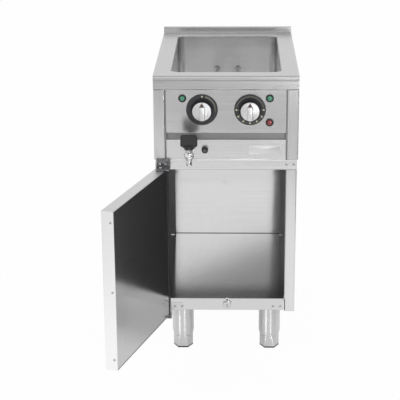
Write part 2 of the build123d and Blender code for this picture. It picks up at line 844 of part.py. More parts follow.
# Screw places on the front: bracket screws at the hinge side, plain ones at the other end
bracket_left = hinge_x - hinge_set
top_screw_z = z_crossbar + top_screw_rise
crossbar_screws = [
    (bracket_left + top_screw_inset, top_screw_z),
    (bracket_left + top_screw_inset + top_screw_pitch, top_screw_z),
    (cabinet_half - crossbar_screw_inset - crossbar_screw_pitch, top_screw_z),
    (cabinet_half - crossbar_screw_inset, top_screw_z),
]
rail_screws = [
    (-rail_half + rail_screw_end, rail_screw_z),
    (-rail_half + rail_screw_end + rail_screw_pitch, rail_screw_z),
    (rail_half - rail_screw_end / 2 - rail_screw_pitch, rail_screw_z),
    (rail_half - rail_screw_end / 2, rail_screw_z),
]

# Floor: a pan whose front is the rail, with edges that reach the liners
floor_path = [
    (hem, z_rail + sheet / 2),
    (sheet / 2, z_rail + sheet / 2),
    (sheet / 2, z_floor - sheet / 2),
    (inner_depth - sheet / 2, z_floor - sheet / 2),
    (inner_depth - sheet / 2, z_rail),
]
with BuildPart() as cabinet_floor:
    extrude(folded(side(-rail_half), floor_path, sheet, bend), amount=2 * rail_half)
    extrude(rectangle(level(z_floor), -liner_face, liner_face, cabinet_return, inner_depth - bend),
            amount=-sheet)
    with BuildSketch(facing(sheet)):
        with Locations(*rail_screws):
            Circle(screw_hole / 2)
    extrude(amount=sheet, mode=Mode.SUBTRACT)
cabinet_floor.part.label = "cabinet_floor"
export_step(cabinet_floor.part, "parts/cabinet_floor.step")

# Crossbar: a channel across the top of the cabinet
crossbar_path = [
    (crossbar_depth, z_crossbar + sheet / 2),
    (sheet / 2, z_crossbar + sheet / 2),
    (sheet / 2, z_upper - sheet / 2),
    (crossbar_depth, z_upper - sheet / 2),
]
with BuildPart() as crossbar:
    extrude(folded(side(-cabinet_half), crossbar_path, sheet, bend), amount=2 * cabinet_half)
    with BuildSketch(facing(sheet)):
        with Locations(*crossbar_screws):
            Circle(screw_hole / 2)
    extrude(amount=sheet, mode=Mode.SUBTRACT)
crossbar.part.label = "cabinet_crossbar"
export_step(crossbar.part, "parts/cabinet_crossbar.step")

# Hinge brackets: a plate on the cabinet, a flange over or under the door and the pivot pin
flange_front = hinge_y - bracket_reach
top_flange = door_top + bracket_gap
with BuildPart() as bracket_top:
    extrude(rectangle(facing(0), bracket_left, bracket_left + top_bracket_width, top_flange,
                      z_upper + top_bracket_lap), amount=bracket_plate)
    extrude(rectangle(level(top_flange), bracket_left, bracket_left + top_bracket_width, flange_front, 0),
            amount=bracket_plate)
    front_corners = bracket_top.edges().filter_by(Axis.Z).group_by(Axis.Y)[0]
    fillet(front_corners, radius=bracket_round)
    with BuildSketch(facing(0)):
        with Locations(*crossbar_screws[:2]):
            Circle(screw_hole / 2)
    extrude(amount=bracket_plate, mode=Mode.SUBTRACT)
    extrude(disc(level(top_flange + bracket_plate), hinge_x, hinge_y, bush_diameter), amount=pin_head)
    extrude(disc(level(top_flange + bracket_plate), hinge_x, hinge_y, pin_diameter),
            amount=-(bracket_plate + bracket_gap + pin_depth))
bracket_top.part.label = "hinge_bracket_top"
export_step(bracket_top.part, "parts/hinge_bracket_top.step")

bottom_flange = door_bottom - bracket_gap
with BuildPart() as bracket_bottom:
    extrude(rectangle(facing(0), bracket_left, bracket_left + bottom_bracket_width, z_rail,
                      z_rail + bottom_bracket_rise), amount=bracket_plate)
    extrude(rectangle(facing(0), bracket_left, bracket_left + top_bracket_width, bottom_flange - bracket_plate,
                      z_rail), amount=bracket_plate)
    extrude(rectangle(level(bottom_flange), bracket_left, bracket_left + top_bracket_width, flange_front, 0),
            amount=-bracket_plate)
    front_corners = bracket_bottom.edges().filter_by(Axis.Z).group_by(Axis.Y)[0]
    fillet(front_corners, radius=bracket_round)
    with BuildSketch(facing(0)):
        with Locations(*rail_screws[:2]):
            Circle(screw_hole / 2)
    extrude(amount=bracket_plate, mode=Mode.SUBTRACT)
    extrude(disc(level(bottom_flange), hinge_x, hinge_y, pin_diameter), amount=bracket_gap + pin_depth)
bracket_bottom.part.label = "hinge_bracket_bottom"
export_step(bracket_bottom.part, "parts/hinge_bracket_bottom.step")

# Front screws: pan heads seated on the brackets, the crossbar and the rail
seats = [(place, -bracket_plate) for place in crossbar_screws[:2] + rail_screws[:2]]
seats += [(place, 0.0) for place in crossbar_screws[2:] + rail_screws[2:]]
with BuildPart() as front_screws:
    for (screw_x, screw_z), seat_y in seats:
        extrude(disc(facing(seat_y), screw_x, screw_z, screw_head), amount=screw_head_height)
        extrude(disc(facing(seat_y), screw_x, screw_z, screw_shank), amount=-screw_length)
    fillet(front_screws.edges().group_by(Axis.Y)[0], radius=screw_round)
front_screws.part.label = "front_screws"
export_step(front_screws.part, "parts/front_screws.step")

# Door: a folded shell with a liner let into it, riveted at the free end, on bushes at the hinge end
with BuildPart() as door_shell:
    extrude(rectangle(door_level(door_bottom), -hinge_set, door_reach, -door_outer, hinge_back),
            amount=door_top - door_bottom)
    fillet(door_shell.edges().filter_by(Axis.Z), radius=bend)
    extrude(rectangle(door_level(door_bottom + sheet), -hinge_set + sheet, door_reach - sheet,
                      -door_outer + sheet, hinge_back), amount=door_top - door_bottom - 2 * sheet,
            mode=Mode.SUBTRACT)
    for hole_z, hole_up in ((door_bottom, 1), (door_top, -1)):
        extrude(disc(door_level(hole_z), 0, 0, bush_diameter + 2 * seat_gap), amount=hole_up * sheet,
                mode=Mode.SUBTRACT)
    rivet_heights = [door_bottom + rivet_end, (door_bottom + door_top) / 2, door_top - rivet_end]
    with BuildSketch(door_end(door_reach)):
        with Locations(*[(hinge_back - rivet_edge, rivet_z) for rivet_z in rivet_heights]):
            Circle(rivet_shank / 2 + seat_gap)
    extrude(amount=-sheet, mode=Mode.SUBTRACT)
door_shell.part.label = "door_shell"
export_step(door_shell.part, "parts/door_shell.step")

liner_line = hinge_back - liner_set
with BuildPart() as door_liner:
    extrude(rectangle(door_level(door_bottom + sheet), -hinge_set + sheet, door_reach - sheet,
                      liner_line - liner_flange, liner_line), amount=door_top - door_bottom - 2 * sheet)
    extrude(rectangle(door_level(door_bottom + 2 * sheet), -hinge_set + 2 * sheet, door_reach - 2 * sheet,
                      liner_line - liner_flange, liner_line - sheet),
            amount=door_top - door_bottom - 4 * sheet, mode=Mode.SUBTRACT)
    for hole_z, hole_up in ((door_bottom + sheet, 1), (door_top - sheet, -1)):
        extrude(disc(door_level(hole_z), 0, 0, bush_collar), amount=hole_up * sheet, mode=Mode.SUBTRACT)
    with BuildSketch(door_end(door_reach - sheet)):
        with Locations(*[(hinge_back - rivet_edge, rivet_z) for rivet_z in rivet_heights]):
            Circle(rivet_shank / 2 + seat_gap)
    extrude(amount=-sheet, mode=Mode.SUBTRACT)
door_liner.part.label = "door_liner"
export_step(door_liner.part, "parts/door_liner.step")

with BuildPart() as door_rivets:
    for rivet_z in rivet_heights:
        extrude(disc(door_end(door_reach), hinge_back - rivet_edge, rivet_z, rivet_diameter), amount=rivet_head)
        extrude(disc(door_end(door_reach), hinge_back - rivet_edge, rivet_z, rivet_shank), amount=-3 * sheet)
door_rivets.part.label = "door_rivets"
export_step(door_rivets.part, "parts/door_rivets.step")

with BuildPart() as door_bushes:
    for bush_z, bush_up in ((door_bottom, 1), (door_top, -1)):
        extrude(disc(door_level(bush_z), 0, 0, bush_diameter), amount=bush_up * sheet)
        extrude(disc(door_level(bush_z + bush_up * sheet), 0, 0, bush_collar - 2 * seat_gap),
                amount=bush_up * (bush_length + bracket_gap + 2 * sheet))
        extrude(disc(door_level(bush_z), 0, 0, pin_diameter + 2 * run_fit),
                amount=bush_up * (pin_depth + run_gap), mode=Mode.SUBTRACT)
door_bushes.part.label = "door_bushes"
export_step(door_bushes.part, "parts/door_bushes.step")

# Door catch: a magnet disc on the rail, with a pierced lug above it
catch_z = z_rail + catch_rise
with BuildPart() as door_catch:
    extrude(disc(facing(0), catch_x, catch_z, catch_diameter), amount=catch_height)
    fillet(door_catch.faces().sort_by(Axis.Y)[0].edges(), radius=catch_dish_depth)
    extrude(disc(facing(-catch_height), catch_x, catch_z, catch_dish), amount=-catch_dish_depth,
            mode=Mode.SUBTRACT)
    with BuildSketch(facing(0)):
        with Locations((catch_x, catch_z + catch_lug_rise / 2)):
            SlotOverall(catch_lug_rise + catch_lug_width, catch_lug_width, rotation=90)
        with Locations((catch_x, catch_z + catch_lug_rise - catch_lug_width / 4)):
            Circle(catch_hole / 2, mode=Mode.SUBTRACT)
    extrude(amount=catch_lug_thick)
door_catch.part.label = "door_catch"
export_step(door_catch.part, "parts/door_catch.step")

# Legs: a tube with a flange under the floor and a sleeve that guides the foot's upper part
flange_top = z_floor - sheet
leg_places = {
    "front_left": (-leg_x, leg_front),
    "front_right": (leg_x, leg_front),
    "rear_left": (-leg_x, leg_rear),
    "rear_right": (leg_x, leg_rear),
}
leg_inner = leg_diameter - 2 * leg_wall
shoulder = foot_height - foot_gap
for name, (place_x, place_y) in leg_places.items():
    with BuildPart() as leg:
        extrude(disc(level(foot_height), place_x, place_y, leg_diameter), amount=flange_top - foot_height)
        extrude(disc(level(foot_height), place_x, place_y, leg_inner),
                amount=flange_top - leg_flange_thick - foot_height, mode=Mode.SUBTRACT)
        extrude(disc(level(foot_height), place_x, place_y, leg_inner), amount=sleeve_height)
        extrude(disc(level(foot_height), place_x, place_y, foot_diameter + 2 * foot_gap),
                amount=sleeve_height, mode=Mode.SUBTRACT)
        bottom_ring = leg.faces().sort_by(Axis.Z)[0]
        chamfer(bottom_ring.outer_wire().edges(), length=taper_set, length2=taper_height, reference=bottom_ring)
        with BuildSketch(level(flange_top)):
            with Locations((place_x, place_y)):
                RectangleRounded(leg_flange, leg_flange, bracket_round)
        extrude(amount=-leg_flange_thick)
    leg.part.label = f"leg_{name}"
    export_step(leg.part, f"parts/leg_{name}.step")

    with BuildPart() as foot:
        extrude(hexagon(level(0), place_x, place_y, foot_hex), amount=shoulder, taper=-foot_hex_lean)
        chamfer(foot.faces().sort_by(Axis.Z)[0].edges(), length=foot_edge)
        extrude(disc(level(0), place_x, place_y, foot_body), amount=shoulder, mode=Mode.INTERSECT)
        extrude(disc(level(shoulder), place_x, place_y, foot_diameter), amount=foot_length - shoulder)
        extrude(disc(level(foot_length), place_x, place_y, foot_diameter - 2 * foot_wall),
                amount=foot_base - foot_length, mode=Mode.SUBTRACT)
    foot.part.label = f"foot_{name}"
    export_step(foot.part, f"parts/foot_{name}.step")
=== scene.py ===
# %% [markdown]
# # A bain marie on an open cabinet
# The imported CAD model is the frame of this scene: every sheet, bracket and leg is there at its true size.
# This lesson gives the sheets their finishes, and models the small parts that a CAD solid keeps plain,
# such as dials, knobs, lamps, the drain tap, screws and feet.

# %% Load the frame
import math
import bpy
from mathutils import Matrix, Vector


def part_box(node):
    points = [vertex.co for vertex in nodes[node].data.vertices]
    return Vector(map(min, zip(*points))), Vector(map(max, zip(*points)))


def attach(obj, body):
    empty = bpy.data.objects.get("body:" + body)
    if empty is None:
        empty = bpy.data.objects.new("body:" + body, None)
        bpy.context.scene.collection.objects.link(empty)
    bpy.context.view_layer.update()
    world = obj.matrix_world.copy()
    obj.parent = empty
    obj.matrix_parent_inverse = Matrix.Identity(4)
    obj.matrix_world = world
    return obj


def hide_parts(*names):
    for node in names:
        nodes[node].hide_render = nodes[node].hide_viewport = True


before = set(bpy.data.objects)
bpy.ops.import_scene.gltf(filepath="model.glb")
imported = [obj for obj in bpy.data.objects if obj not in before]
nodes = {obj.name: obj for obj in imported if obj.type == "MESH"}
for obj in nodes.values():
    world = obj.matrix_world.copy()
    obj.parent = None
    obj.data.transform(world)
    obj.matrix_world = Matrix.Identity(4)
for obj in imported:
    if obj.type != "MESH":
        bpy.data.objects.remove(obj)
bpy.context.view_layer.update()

mm = 0.001

# %% [markdown]
# ## The camera
# The photograph looks down on the unit from a little above its worktop, almost square to the front.
# A long lens far away keeps the sides nearly parallel. The lens is given by its focal length in pixels
# of the 400 pixel frame, which is turned into millimetres on a 36 mm sensor.

# %% Camera
frame_pixels = 400
focal_pixels = 1305.44
sensor_width = 36.0
camera_place = Vector((0.085078, -3.588044, 1.64193))
camera_yaw = math.radians(-1.68)
camera_pitch = math.radians(18.57)
camera_roll = math.radians(-0.40)
camera_data = bpy.data.cameras.new("photo_camera")
camera_data.sensor_width = sensor_width
camera_data.lens = focal_pixels / frame_pixels * sensor_width
camera = bpy.data.objects.new("photo_camera", camera_data)
turn = Matrix.Rotation(-camera_yaw, 4, "Z") @ Matrix.Rotation(math.pi / 2 - camera_pitch, 4, "X")
camera.matrix_world = Matrix.Translation(camera_place) @ turn @ Matrix.Rotation(camera_roll, 4, "Z")
bpy.context.scene.collection.objects.link(camera)
bpy.context.scene.camera = camera
bpy.context.scene.view_settings.view_transform = "Standard"
print("camera lens:", round(camera_data.lens, 2), "mm")

# %% [markdown]
# ## The studio
# The photograph is a cut-out on white. Steel is only as bright as what it mirrors, so the floor and the
# room have to be white for the reflections as well as for the camera. Behind the camera a studio is
# dim, so the room falls off towards the front. A few helpers add shader nodes with their settings and links;
# the materials below use them too.


# %% World
def set_inputs(tree, node, inputs):
    """Sets (socket, value) pairs of a node; where the value is another node's output, it is linked."""
    for label, value in inputs:
        if isinstance(value, bpy.types.NodeSocket):
            tree.links.new(value, node.inputs[label])
        else:
            node.inputs[label].default_value = value


def add_node(tree, kind, inputs=(), output=0, **settings):
    """Adds a node with its inputs and settings, and gives one of its outputs."""
    node = tree.nodes.new("ShaderNode" + kind)
    for label, value in settings.items():
        setattr(node, label, value)
    set_inputs(tree, node, inputs)
    return node.outputs[output] if node.outputs else None


def add_math(tree, operation, *values):
    """A math node; each value is a number or another node's output."""
    return add_node(tree, "Math", enumerate(values), operation=operation)


def add_range(tree, value, start, end, low=0.0, high=1.0, **settings):
    """Goes from low to high while the value goes from start to end."""
    limits = [("From Min", start), ("From Max", end), ("To Min", low), ("To Max", high)]
    return add_node(tree, "MapRange", [("Value", value), *limits], **settings)


def add_step(tree, *limits):
    """A range with soft ends."""
    return add_range(tree, *limits, interpolation_type="SMOOTHSTEP")


def coordinate(tree, space, axis):
    """One coordinate of the shaded point, or of the way a ray goes in the world."""
    place = add_node(tree, "TexCoord", output=space)
    return add_node(tree, "SeparateXYZ", [(0, place)], axis)


def seen_straight(tree):
    """1 for a ray from the camera, through glass too, and 0 for a reflection or for light."""
    return add_math(tree, "MAXIMUM", add_node(tree, "LightPath", output="Is Camera Ray"),
                    add_node(tree, "LightPath", output="Is Transmission Ray"))


front_level = 0.52
back_level = 0.9
world = bpy.data.worlds.new("studio_room")
bpy.context.scene.world = world
world.use_nodes = True
room = world.node_tree
room.nodes.clear()
room_fall = add_step(room, coordinate(room, "Generated", "Y"), -0.9, 0.3, front_level, back_level)
room_level = add_math(room, "MAXIMUM", seen_straight(room), room_fall)
room_light = add_node(room, "Background", [("Color", (1, 1, 1, 1)), ("Strength", room_level)])
add_node(room, "OutputWorld", [("Surface", room_light)])
print("world: white to the camera, from", front_level, "in front to", back_level, "behind")

# %% [markdown]
# The floor is one large plane a hair below the feet, so that the pads never share a face with it. It keeps a
# little plain paint, which carries the shadow of the feet. Its material follows in the next cell.

# %% Floor
floor_size = 24.0
floor_drop = 0.0003
floor_glow = 0.97
bpy.ops.object.select_all(action="DESELECT")
bpy.ops.mesh.primitive_plane_add(size=floor_size, location=(0, 0, -floor_drop))
studio_floor = bpy.context.active_object
studio_floor.name = "studio_floor"
print("floor:", floor_size, "m square")

# %% [markdown]
# The paper lies white around the unit and ends about two metres in front of it, further away on the
# left, so the upper front mirrors the greyer floor beyond. To the sides and behind, a falloff of light is
# painted into it, and under the cabinet a painted shadow. All this shows in the steel alone: to the camera
# the paper is plain white.

# %% Paper
paper_end = -2.1
paper_skew = -1.5
paper_fade = 0.7
beyond_paper = 0.22
shade_below = 0.35
side_level = 0.75
paper = bpy.data.materials.new("studio_paper")
paper.use_nodes = True
paper.cycles.emission_sampling = "NONE"
paint = paper.node_tree
paint.nodes.clear()
paper_x = coordinate(paint, "Object", "X")
paper_y = coordinate(paint, "Object", "Y")
unit_middle = (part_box("base_tray")[0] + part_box("base_tray")[1]) / 2
aside = add_math(paint, "ABSOLUTE", add_math(paint, "SUBTRACT", paper_x, unit_middle.x))
along = add_math(paint, "ABSOLUTE", add_math(paint, "SUBTRACT", paper_y, unit_middle.y))
# Painted shadow on the paper under the cabinet.
painted_shadow_below = add_math(paint, "MULTIPLY", add_step(paint, aside, 0.12, 0.3, shade_below, 0.0),
                      add_step(paint, along, 0.2, 0.4, 1.0, 0.0))
skewed = add_math(paint, "MULTIPLY_ADD", paper_x, paper_skew, paper_y)
on_paper = add_step(paint, skewed, paper_end - paper_fade, paper_end, beyond_paper, 1.0)
# Painted falloff of light to the sides and behind.
painted_falloff_around = add_math(paint, "MULTIPLY", add_step(paint, aside, 0.6, 1.4, 1.0, side_level),
                       add_step(paint, paper_y, 0.55, 1.2, 1.0, side_level))
lit_paper = add_math(paint, "MULTIPLY", on_paper, painted_falloff_around)
mirrored_level = add_math(paint, "MULTIPLY", lit_paper, add_math(paint, "SUBTRACT", 1.0, painted_shadow_below))
seen = seen_straight(paint)
shown = add_math(paint, "MAXIMUM", seen, add_node(paint, "LightPath", output="Is Glossy Ray"))
glow_share = add_math(paint, "MULTIPLY", shown, floor_glow)
plain_paint = add_node(paint, "BsdfDiffuse", [("Color", (0.85, 0.85, 0.85, 1))])
white_glow = add_node(paint, "Emission", [("Strength", add_math(paint, "MAXIMUM", seen, mirrored_level))])
paper_mix = add_node(paint, "MixShader", enumerate((glow_share, plain_paint, white_glow)))
add_node(paint, "OutputMaterial", [("Surface", paper_mix)])
studio_floor.data.materials.append(paper)
print("paper ends at y", paper_end, "and is", 1 - shade_below, "bright below the unit")

# %% [markdown]
# ## The lamps
# A soft key lamp stands high on the right. Large weak boards in front and on the left give the flat sheets
# something pale to mirror. Round legs mirror the whole room as thin lines, so a studio draws their edges with
# narrow strips. The left strip is the stronger one, and a flag keeps it off everything but the legs and feet:
# the lamp is linked to a collection of the pieces that it may light.


# %% Lamps
def add_lamp(name, place, aim, width, height, radiance, lean=0.0):
    """A soft lamp that looks at a point; radiance is its brightness, with white paper at 1."""
    data = bpy.data.lights.new(name, "AREA")
    data.shape = "RECTANGLE"
    data.size = width
    data.size_y = height
    data.energy = radiance * math.pi * width * height
    lamp = bpy.data.objects.new(name, data)
    facing = (Vector(aim) - Vector(place)).to_track_quat("-Z", "Y").to_matrix().to_4x4()
    lamp.matrix_world = Matrix.Translation(place) @ facing @ Matrix.Rotation(math.radians(lean), 4, "Z")
    lamp.visible_camera = False
    bpy.context.scene.collection.objects.link(lamp)
    return lamp


add_lamp("key_lamp", (1.1, -1.9, 2.3), (0.05, 0.0, 0.5), 0.7, 0.7, 4.0)
strip_left = add_lamp("strip_left", (-3.0, -4.4, 0.7), (-0.05, 0.0, 0.7), 0.2, 1.4, 40.0)
add_lamp("strip_right", (0.8, -2.7, 0.5), (-0.05, 0.0, 0.5), 0.1, 1.0, 20.0)
strip_lit = bpy.data.collections.new("lit_by_left_strip")
strip_left.light_linking.receiver_collection = strip_lit
corners = ("front_left", "front_right", "rear_left", "rear_right")
for corner in corners:
    strip_lit.objects.link(nodes["leg_" + corner])
add_lamp("side_board", (-2.6, -3.0, 0.75), (-0.2, -0.4, 0.6), 2.4, 1.4, 0.6)
add_lamp("front_board", (-0.15, -2.3, 1.02), (-0.15, 0.0, 1.02), 1.6, 0.74, 1.0, lean=-27.0)
print("lamps:", [lamp.name for lamp in bpy.data.lights])

# %% [markdown]
# ## Shared effects
# Rolled stainless sheet is polished with a belt, which leaves fine lines in one direction, and hands and
# cloths leave faint smears on it. Both are used by several finishes, so each is a node group that puts out
# one mask. The lines are a noise that is stretched along the belt. Thin sheets are never quite flat either,
# so a third group gives the height of a slight bow. The fourth is the grain of moulded plastic.


# %% Node groups
def add_vector(tree, operation, *values, output=0):
    """A vector math node; each value is a vector or another node's output."""
    return add_node(tree, "VectorMath", enumerate(values), output, operation=operation)


def effect_group(name, output, **inputs):
    """An empty node group with its sockets made: inputs are vectors, with their first values."""
    group = bpy.data.node_groups.new(name, "ShaderNodeTree")
    for label, value in inputs.items():
        socket = group.interface.new_socket(label, in_out="INPUT", socket_type="NodeSocketVector")
        socket.default_value = value
    group.interface.new_socket(output, in_out="OUTPUT", socket_type="NodeSocketFloat")
    return group, group.nodes.new("NodeGroupInput"), group.nodes.new("NodeGroupOutput")


def noise_group(name, output, stretch, detail, low, high):
    """A group that puts out a noise over stretched object coordinates, spread over 0 to 1."""
    group, entry, leave = effect_group(name, output, Stretch=stretch)
    scaled = add_vector(group, "MULTIPLY", add_node(group, "TexCoord", output="Object"),
                        entry.outputs["Stretch"])
    noise = add_node(group, "TexNoise", [("Vector", scaled), ("Scale", 1.0), ("Detail", detail),
                                         ("Roughness", 0.6)], "Fac")
    group.links.new(add_range(group, noise, low, high), leave.inputs[0])
    return group


belt_lines = noise_group("belt_lines", "Lines", (4, 900, 900), 3.0, 0.3, 0.7)
wiped_smears = noise_group("wiped_smears", "Smears", (6, 6, 6), 5.0, 0.4, 0.75)
sheet_bow, bow_in, bow_out = effect_group("sheet_bow", "Height", Slope=(0, 0, 0), Bend=(0, 0, 0))
bow_place = add_node(sheet_bow, "TexCoord", output="Object")
bow_slope = add_vector(sheet_bow, "MULTIPLY_ADD", bow_place, bow_in.outputs["Bend"], bow_in.outputs["Slope"])
bow_height = add_vector(sheet_bow, "DOT_PRODUCT", bow_place, bow_slope, output="Value")
sheet_bow.links.new(bow_height, bow_out.inputs[0])
moulded_grain = noise_group("moulded_grain", "Grain", (1500, 1500, 1500), 2.0, 0.3, 0.7)
print("groups:", [group.name for group in bpy.data.node_groups])

# %% [markdown]
# ## The finishes
# One function makes every finish: a colour that the fine pattern darkens a little, a roughness that the
# pattern and the smears change, and a bump from the pattern. The sheets differ in how finely they were
# polished, and their greys also stand for light: each grey was set to how lit its sheet looks where it
# stands, which is painted light and shade. The door's flanges take painted light too: the one on top is
# painted darker, as painted shade, and the one at the free end lighter, as a painted highlight. Each is
# found by how far a point lies along the flange's own normal. A dark rim where a part is seen edge on is a
# painted reflection.


# %% Finish builder
def mixed(tree, first, second, share):
    """A colour between two, of which the second takes the share."""
    return add_node(tree, "Mix", [("A", first), ("B", second), ("Factor", share)], "Result", data_type="RGBA")


def finish(name, colour, roughness, metallic, pattern, stretch, depth, shade=0.1, coat=0.0, slope=None,
           bend=(0, 0, 0), brushed=None, dark_rim=None, flanges=()):
    """A material whose pattern group shades the colour, or grey, the roughness and the surface."""
    material = bpy.data.materials.new(name)
    material.use_nodes = True
    tree = material.node_tree
    fine = add_node(tree, "Group", [("Stretch", stretch)], node_tree=pattern)
    marks = add_node(tree, "Group", node_tree=wiped_smears)

    if isinstance(colour, float):
        colour = (colour, colour, colour)
    dark = [channel * (1 - shade) for channel in colour]
    light = [min(1.0, channel * (1 + shade)) for channel in colour]
    tint = mixed(tree, (*dark, 1), (*light, 1), fine)
    # Painted light on flanges: each listed flange is painted a grey of its own, darker for painted shade,
    # lighter for a painted highlight.
    for normal, reach, grey in flanges:
        place = add_node(tree, "TexCoord", output="Object")
        ahead = add_vector(tree, "DOT_PRODUCT", place, normal, output="Value")
        painted_flange_share = add_range(tree, ahead, reach - 0.6 * mm, reach - 0.3 * mm)
        tint = mixed(tree, tint, (grey, grey, grey, 1), painted_flange_share)

    smear = 0.1 * roughness
    rough = add_math(tree, "MULTIPLY_ADD", fine, smear, roughness)
    rough = add_math(tree, "MULTIPLY_ADD", marks, smear, rough)
    relief = [("Strength", depth), ("Distance", 0.2 * mm), ("Height", fine)]
    if slope:
        bow = add_node(tree, "Group", [("Slope", slope), ("Bend", bend)], node_tree=sheet_bow)
        relief.append(("Normal", add_node(tree, "Bump", [("Distance", 1.0), ("Height", bow)])))

    looks = [("Metallic", metallic), ("Coat Weight", coat), ("Coat Roughness", 0.08), ("Roughness", rough),
             ("Normal", add_node(tree, "Bump", relief))]
    if brushed:
        strength, heading = brushed
        looks += [("Anisotropic", strength), ("Anisotropic Rotation", heading)]
    # Painted reflection: the colour turns near black and the metal fades out where the part is seen edge on.
    if dark_rim:
        edge_on = add_node(tree, "LayerWeight", output="Facing")
        rim = add_range(tree, edge_on, *dark_rim, metallic, 0.0)
        tint = mixed(tree, (0.02, 0.02, 0.022, 1), tint, rim)
        looks += [("Specular IOR Level", 0.0), ("Metallic", rim)]
    set_inputs(tree, tree.nodes["Principled BSDF"], looks + [("Base Color", tint)])
    return material


def steel(name, grey, roughness, belt, depth, metallic=1.0, **looks):
    """A sheet with the lines of its belt."""
    return finish(name, grey, roughness, metallic, belt_lines, belt, depth, **looks)


def moulded(name, colour, roughness, grain, depth, metallic=0.0, **looks):
    """A moulded or cast part with an even grain."""
    return finish(name, colour, roughness, metallic, moulded_grain, (grain, grain, grain), depth, **looks)


print("finish builders ready")

# %% [markdown]
# With the builders, a finish takes a line or two: its name, grey or colour, roughness, pattern and depth.

# %% Finishes
belt_across = (4, 900, 900)
belt_upright = (900, 900, 4)
belt_back = (900, 4, 900)
lines_level = (0.5, 0.25)
lines_round = (0.97, 0.25)
# Each sheet's grey is set to how lit that sheet looks, so the differences between them are partly painted
# light and shade.
front_steel = steel("front_steel", 0.74, 0.24, belt_across, 0.03, shade=0.06, brushed=lines_level)
panel_steel = steel("panel_steel", 0.67, 0.22, belt_across, 0.03, shade=0.05, brushed=lines_level)
# The finger recess and its end plates take a darker grey: painted shade under the control panel.
recess_painted_shade = steel("recess_painted_shade", 0.31, 0.3, belt_across, 0.05)
side_steel = steel("side_steel", 0.71, 0.22, belt_upright, 0.03, shade=0.05)
top_steel = steel("top_steel", 0.58, 0.26, belt_across, 0.05)
# The well's grey is raised above the other sheets: painted light against the shade inside it.
well_painted_light = steel("well_painted_light", 0.8, 0.2, belt_across, 0.03)
# The cabinet's inner walls take a near-black grey: painted shade for the dark inside of the cabinet.
liner_painted_shade = steel("liner_painted_shade", 0.12, 0.5, belt_upright, 0.03, metallic=0.3)
back_steel = steel("back_steel", 0.65, 0.08, belt_across, 0.008, shade=0.04, slope=(-0.019, 0, 0),
                   bend=(0.046, 0, 0))
floor_steel = steel("floor_steel", 0.635, 0.085, belt_back, 0.01, shade=0.05, slope=(-0.012, -0.009, 0),
                    bend=(0, 0.0104, 0))
door_open = math.radians(107.9)
door_along = Vector((math.cos(door_open), -math.sin(door_open), 0))
door_tip = max((nodes["door_shell"].matrix_world @ point.co).dot(door_along)
               for point in nodes["door_shell"].data.vertices)
# The top flange is painted darker (painted shade) and the free-end flange lighter (painted highlight).
door_steel = steel("door_steel", 0.74, 0.26, belt_upright, 0.02, shade=0.03,
                   flanges=[((0, 0, 1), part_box("door_shell")[1].z, 0.64), (door_along, door_tip, 0.92)])
mirror_steel = steel("mirror_steel", 0.5, 0.16, belt_upright, 0.03, metallic=0.94)
leg_finish = steel("leg_finish", 0.7, 0.34, (30, 30, 2500), 0.05, brushed=lines_round)
# Chrome takes a painted dark reflection around its edges.
chrome = moulded("chrome", (0.8, 0.8, 0.81), 0.06, 400, 0.01, metallic=1.0, dark_rim=(0.5, 0.8))
# The top hinge bracket takes a dark grey, darker than the lower bracket: painted shade. Its speckle is random
# tone.
bracket_painted_shade = moulded("bracket_painted_shade", (0.26, 0.26, 0.27), 0.4, 260, 0.2, metallic=1.0, shade=0.55)
black_plastic = moulded("black_plastic", (0.02, 0.02, 0.021), 0.38, 1500, 0.15)
dial_black = moulded("dial_black", (0.03, 0.03, 0.034), 0.42, 1800, 0.12)
button_grey = moulded("button_grey", (0.11, 0.11, 0.115), 0.32, 1500, 0.1)
cap_silver = steel("cap_silver", (0.7, 0.7, 0.705), 0.32, belt_upright, 0.1)
green_lens = moulded("green_lens", (0.055, 0.28, 0.165), 0.2, 500, 0.2, shade=0.3, coat=1.0)
red_lens = moulded("red_lens", (0.31, 0.018, 0.016), 0.2, 500, 0.2, shade=0.3, coat=1.0)
plate_foil = steel("plate_foil", 0.68, 0.35, belt_across, 0.05)
element_steel = moulded("element_steel", (0.35, 0.34, 0.33), 0.3, 500, 0.1, metallic=1.0)
pipe_steel = steel("pipe_steel", 0.45, 0.3, belt_upright, 0.05)
grey_plastic = moulded("grey_plastic", (0.3, 0.3, 0.31), 0.45, 1200, 0.15)
dot_print = moulded("dot_print", (0.66, 0.66, 0.5), 0.5, 2500, 0.1)
line_print = moulded("line_print", (0.24, 0.24, 0.18), 0.5, 2500, 0.1, shade=0.3)
pointer_brown = moulded("pointer_brown", (0.11, 0.08, 0.065), 0.4, 1500, 0.1)
screw_steel = moulded("screw_steel", 0.45, 0.35, 900, 0.1, metallic=1.0)
fitting_steel = moulded("fitting_steel", 0.6, 0.25, 500, 0.05, metallic=1.0)
print("finishes:", len(bpy.data.materials))

# %% [markdown]
# ## Dressing the CAD nodes
# A CAD node whose shape is right stays, and only takes a better finish in its material slot.

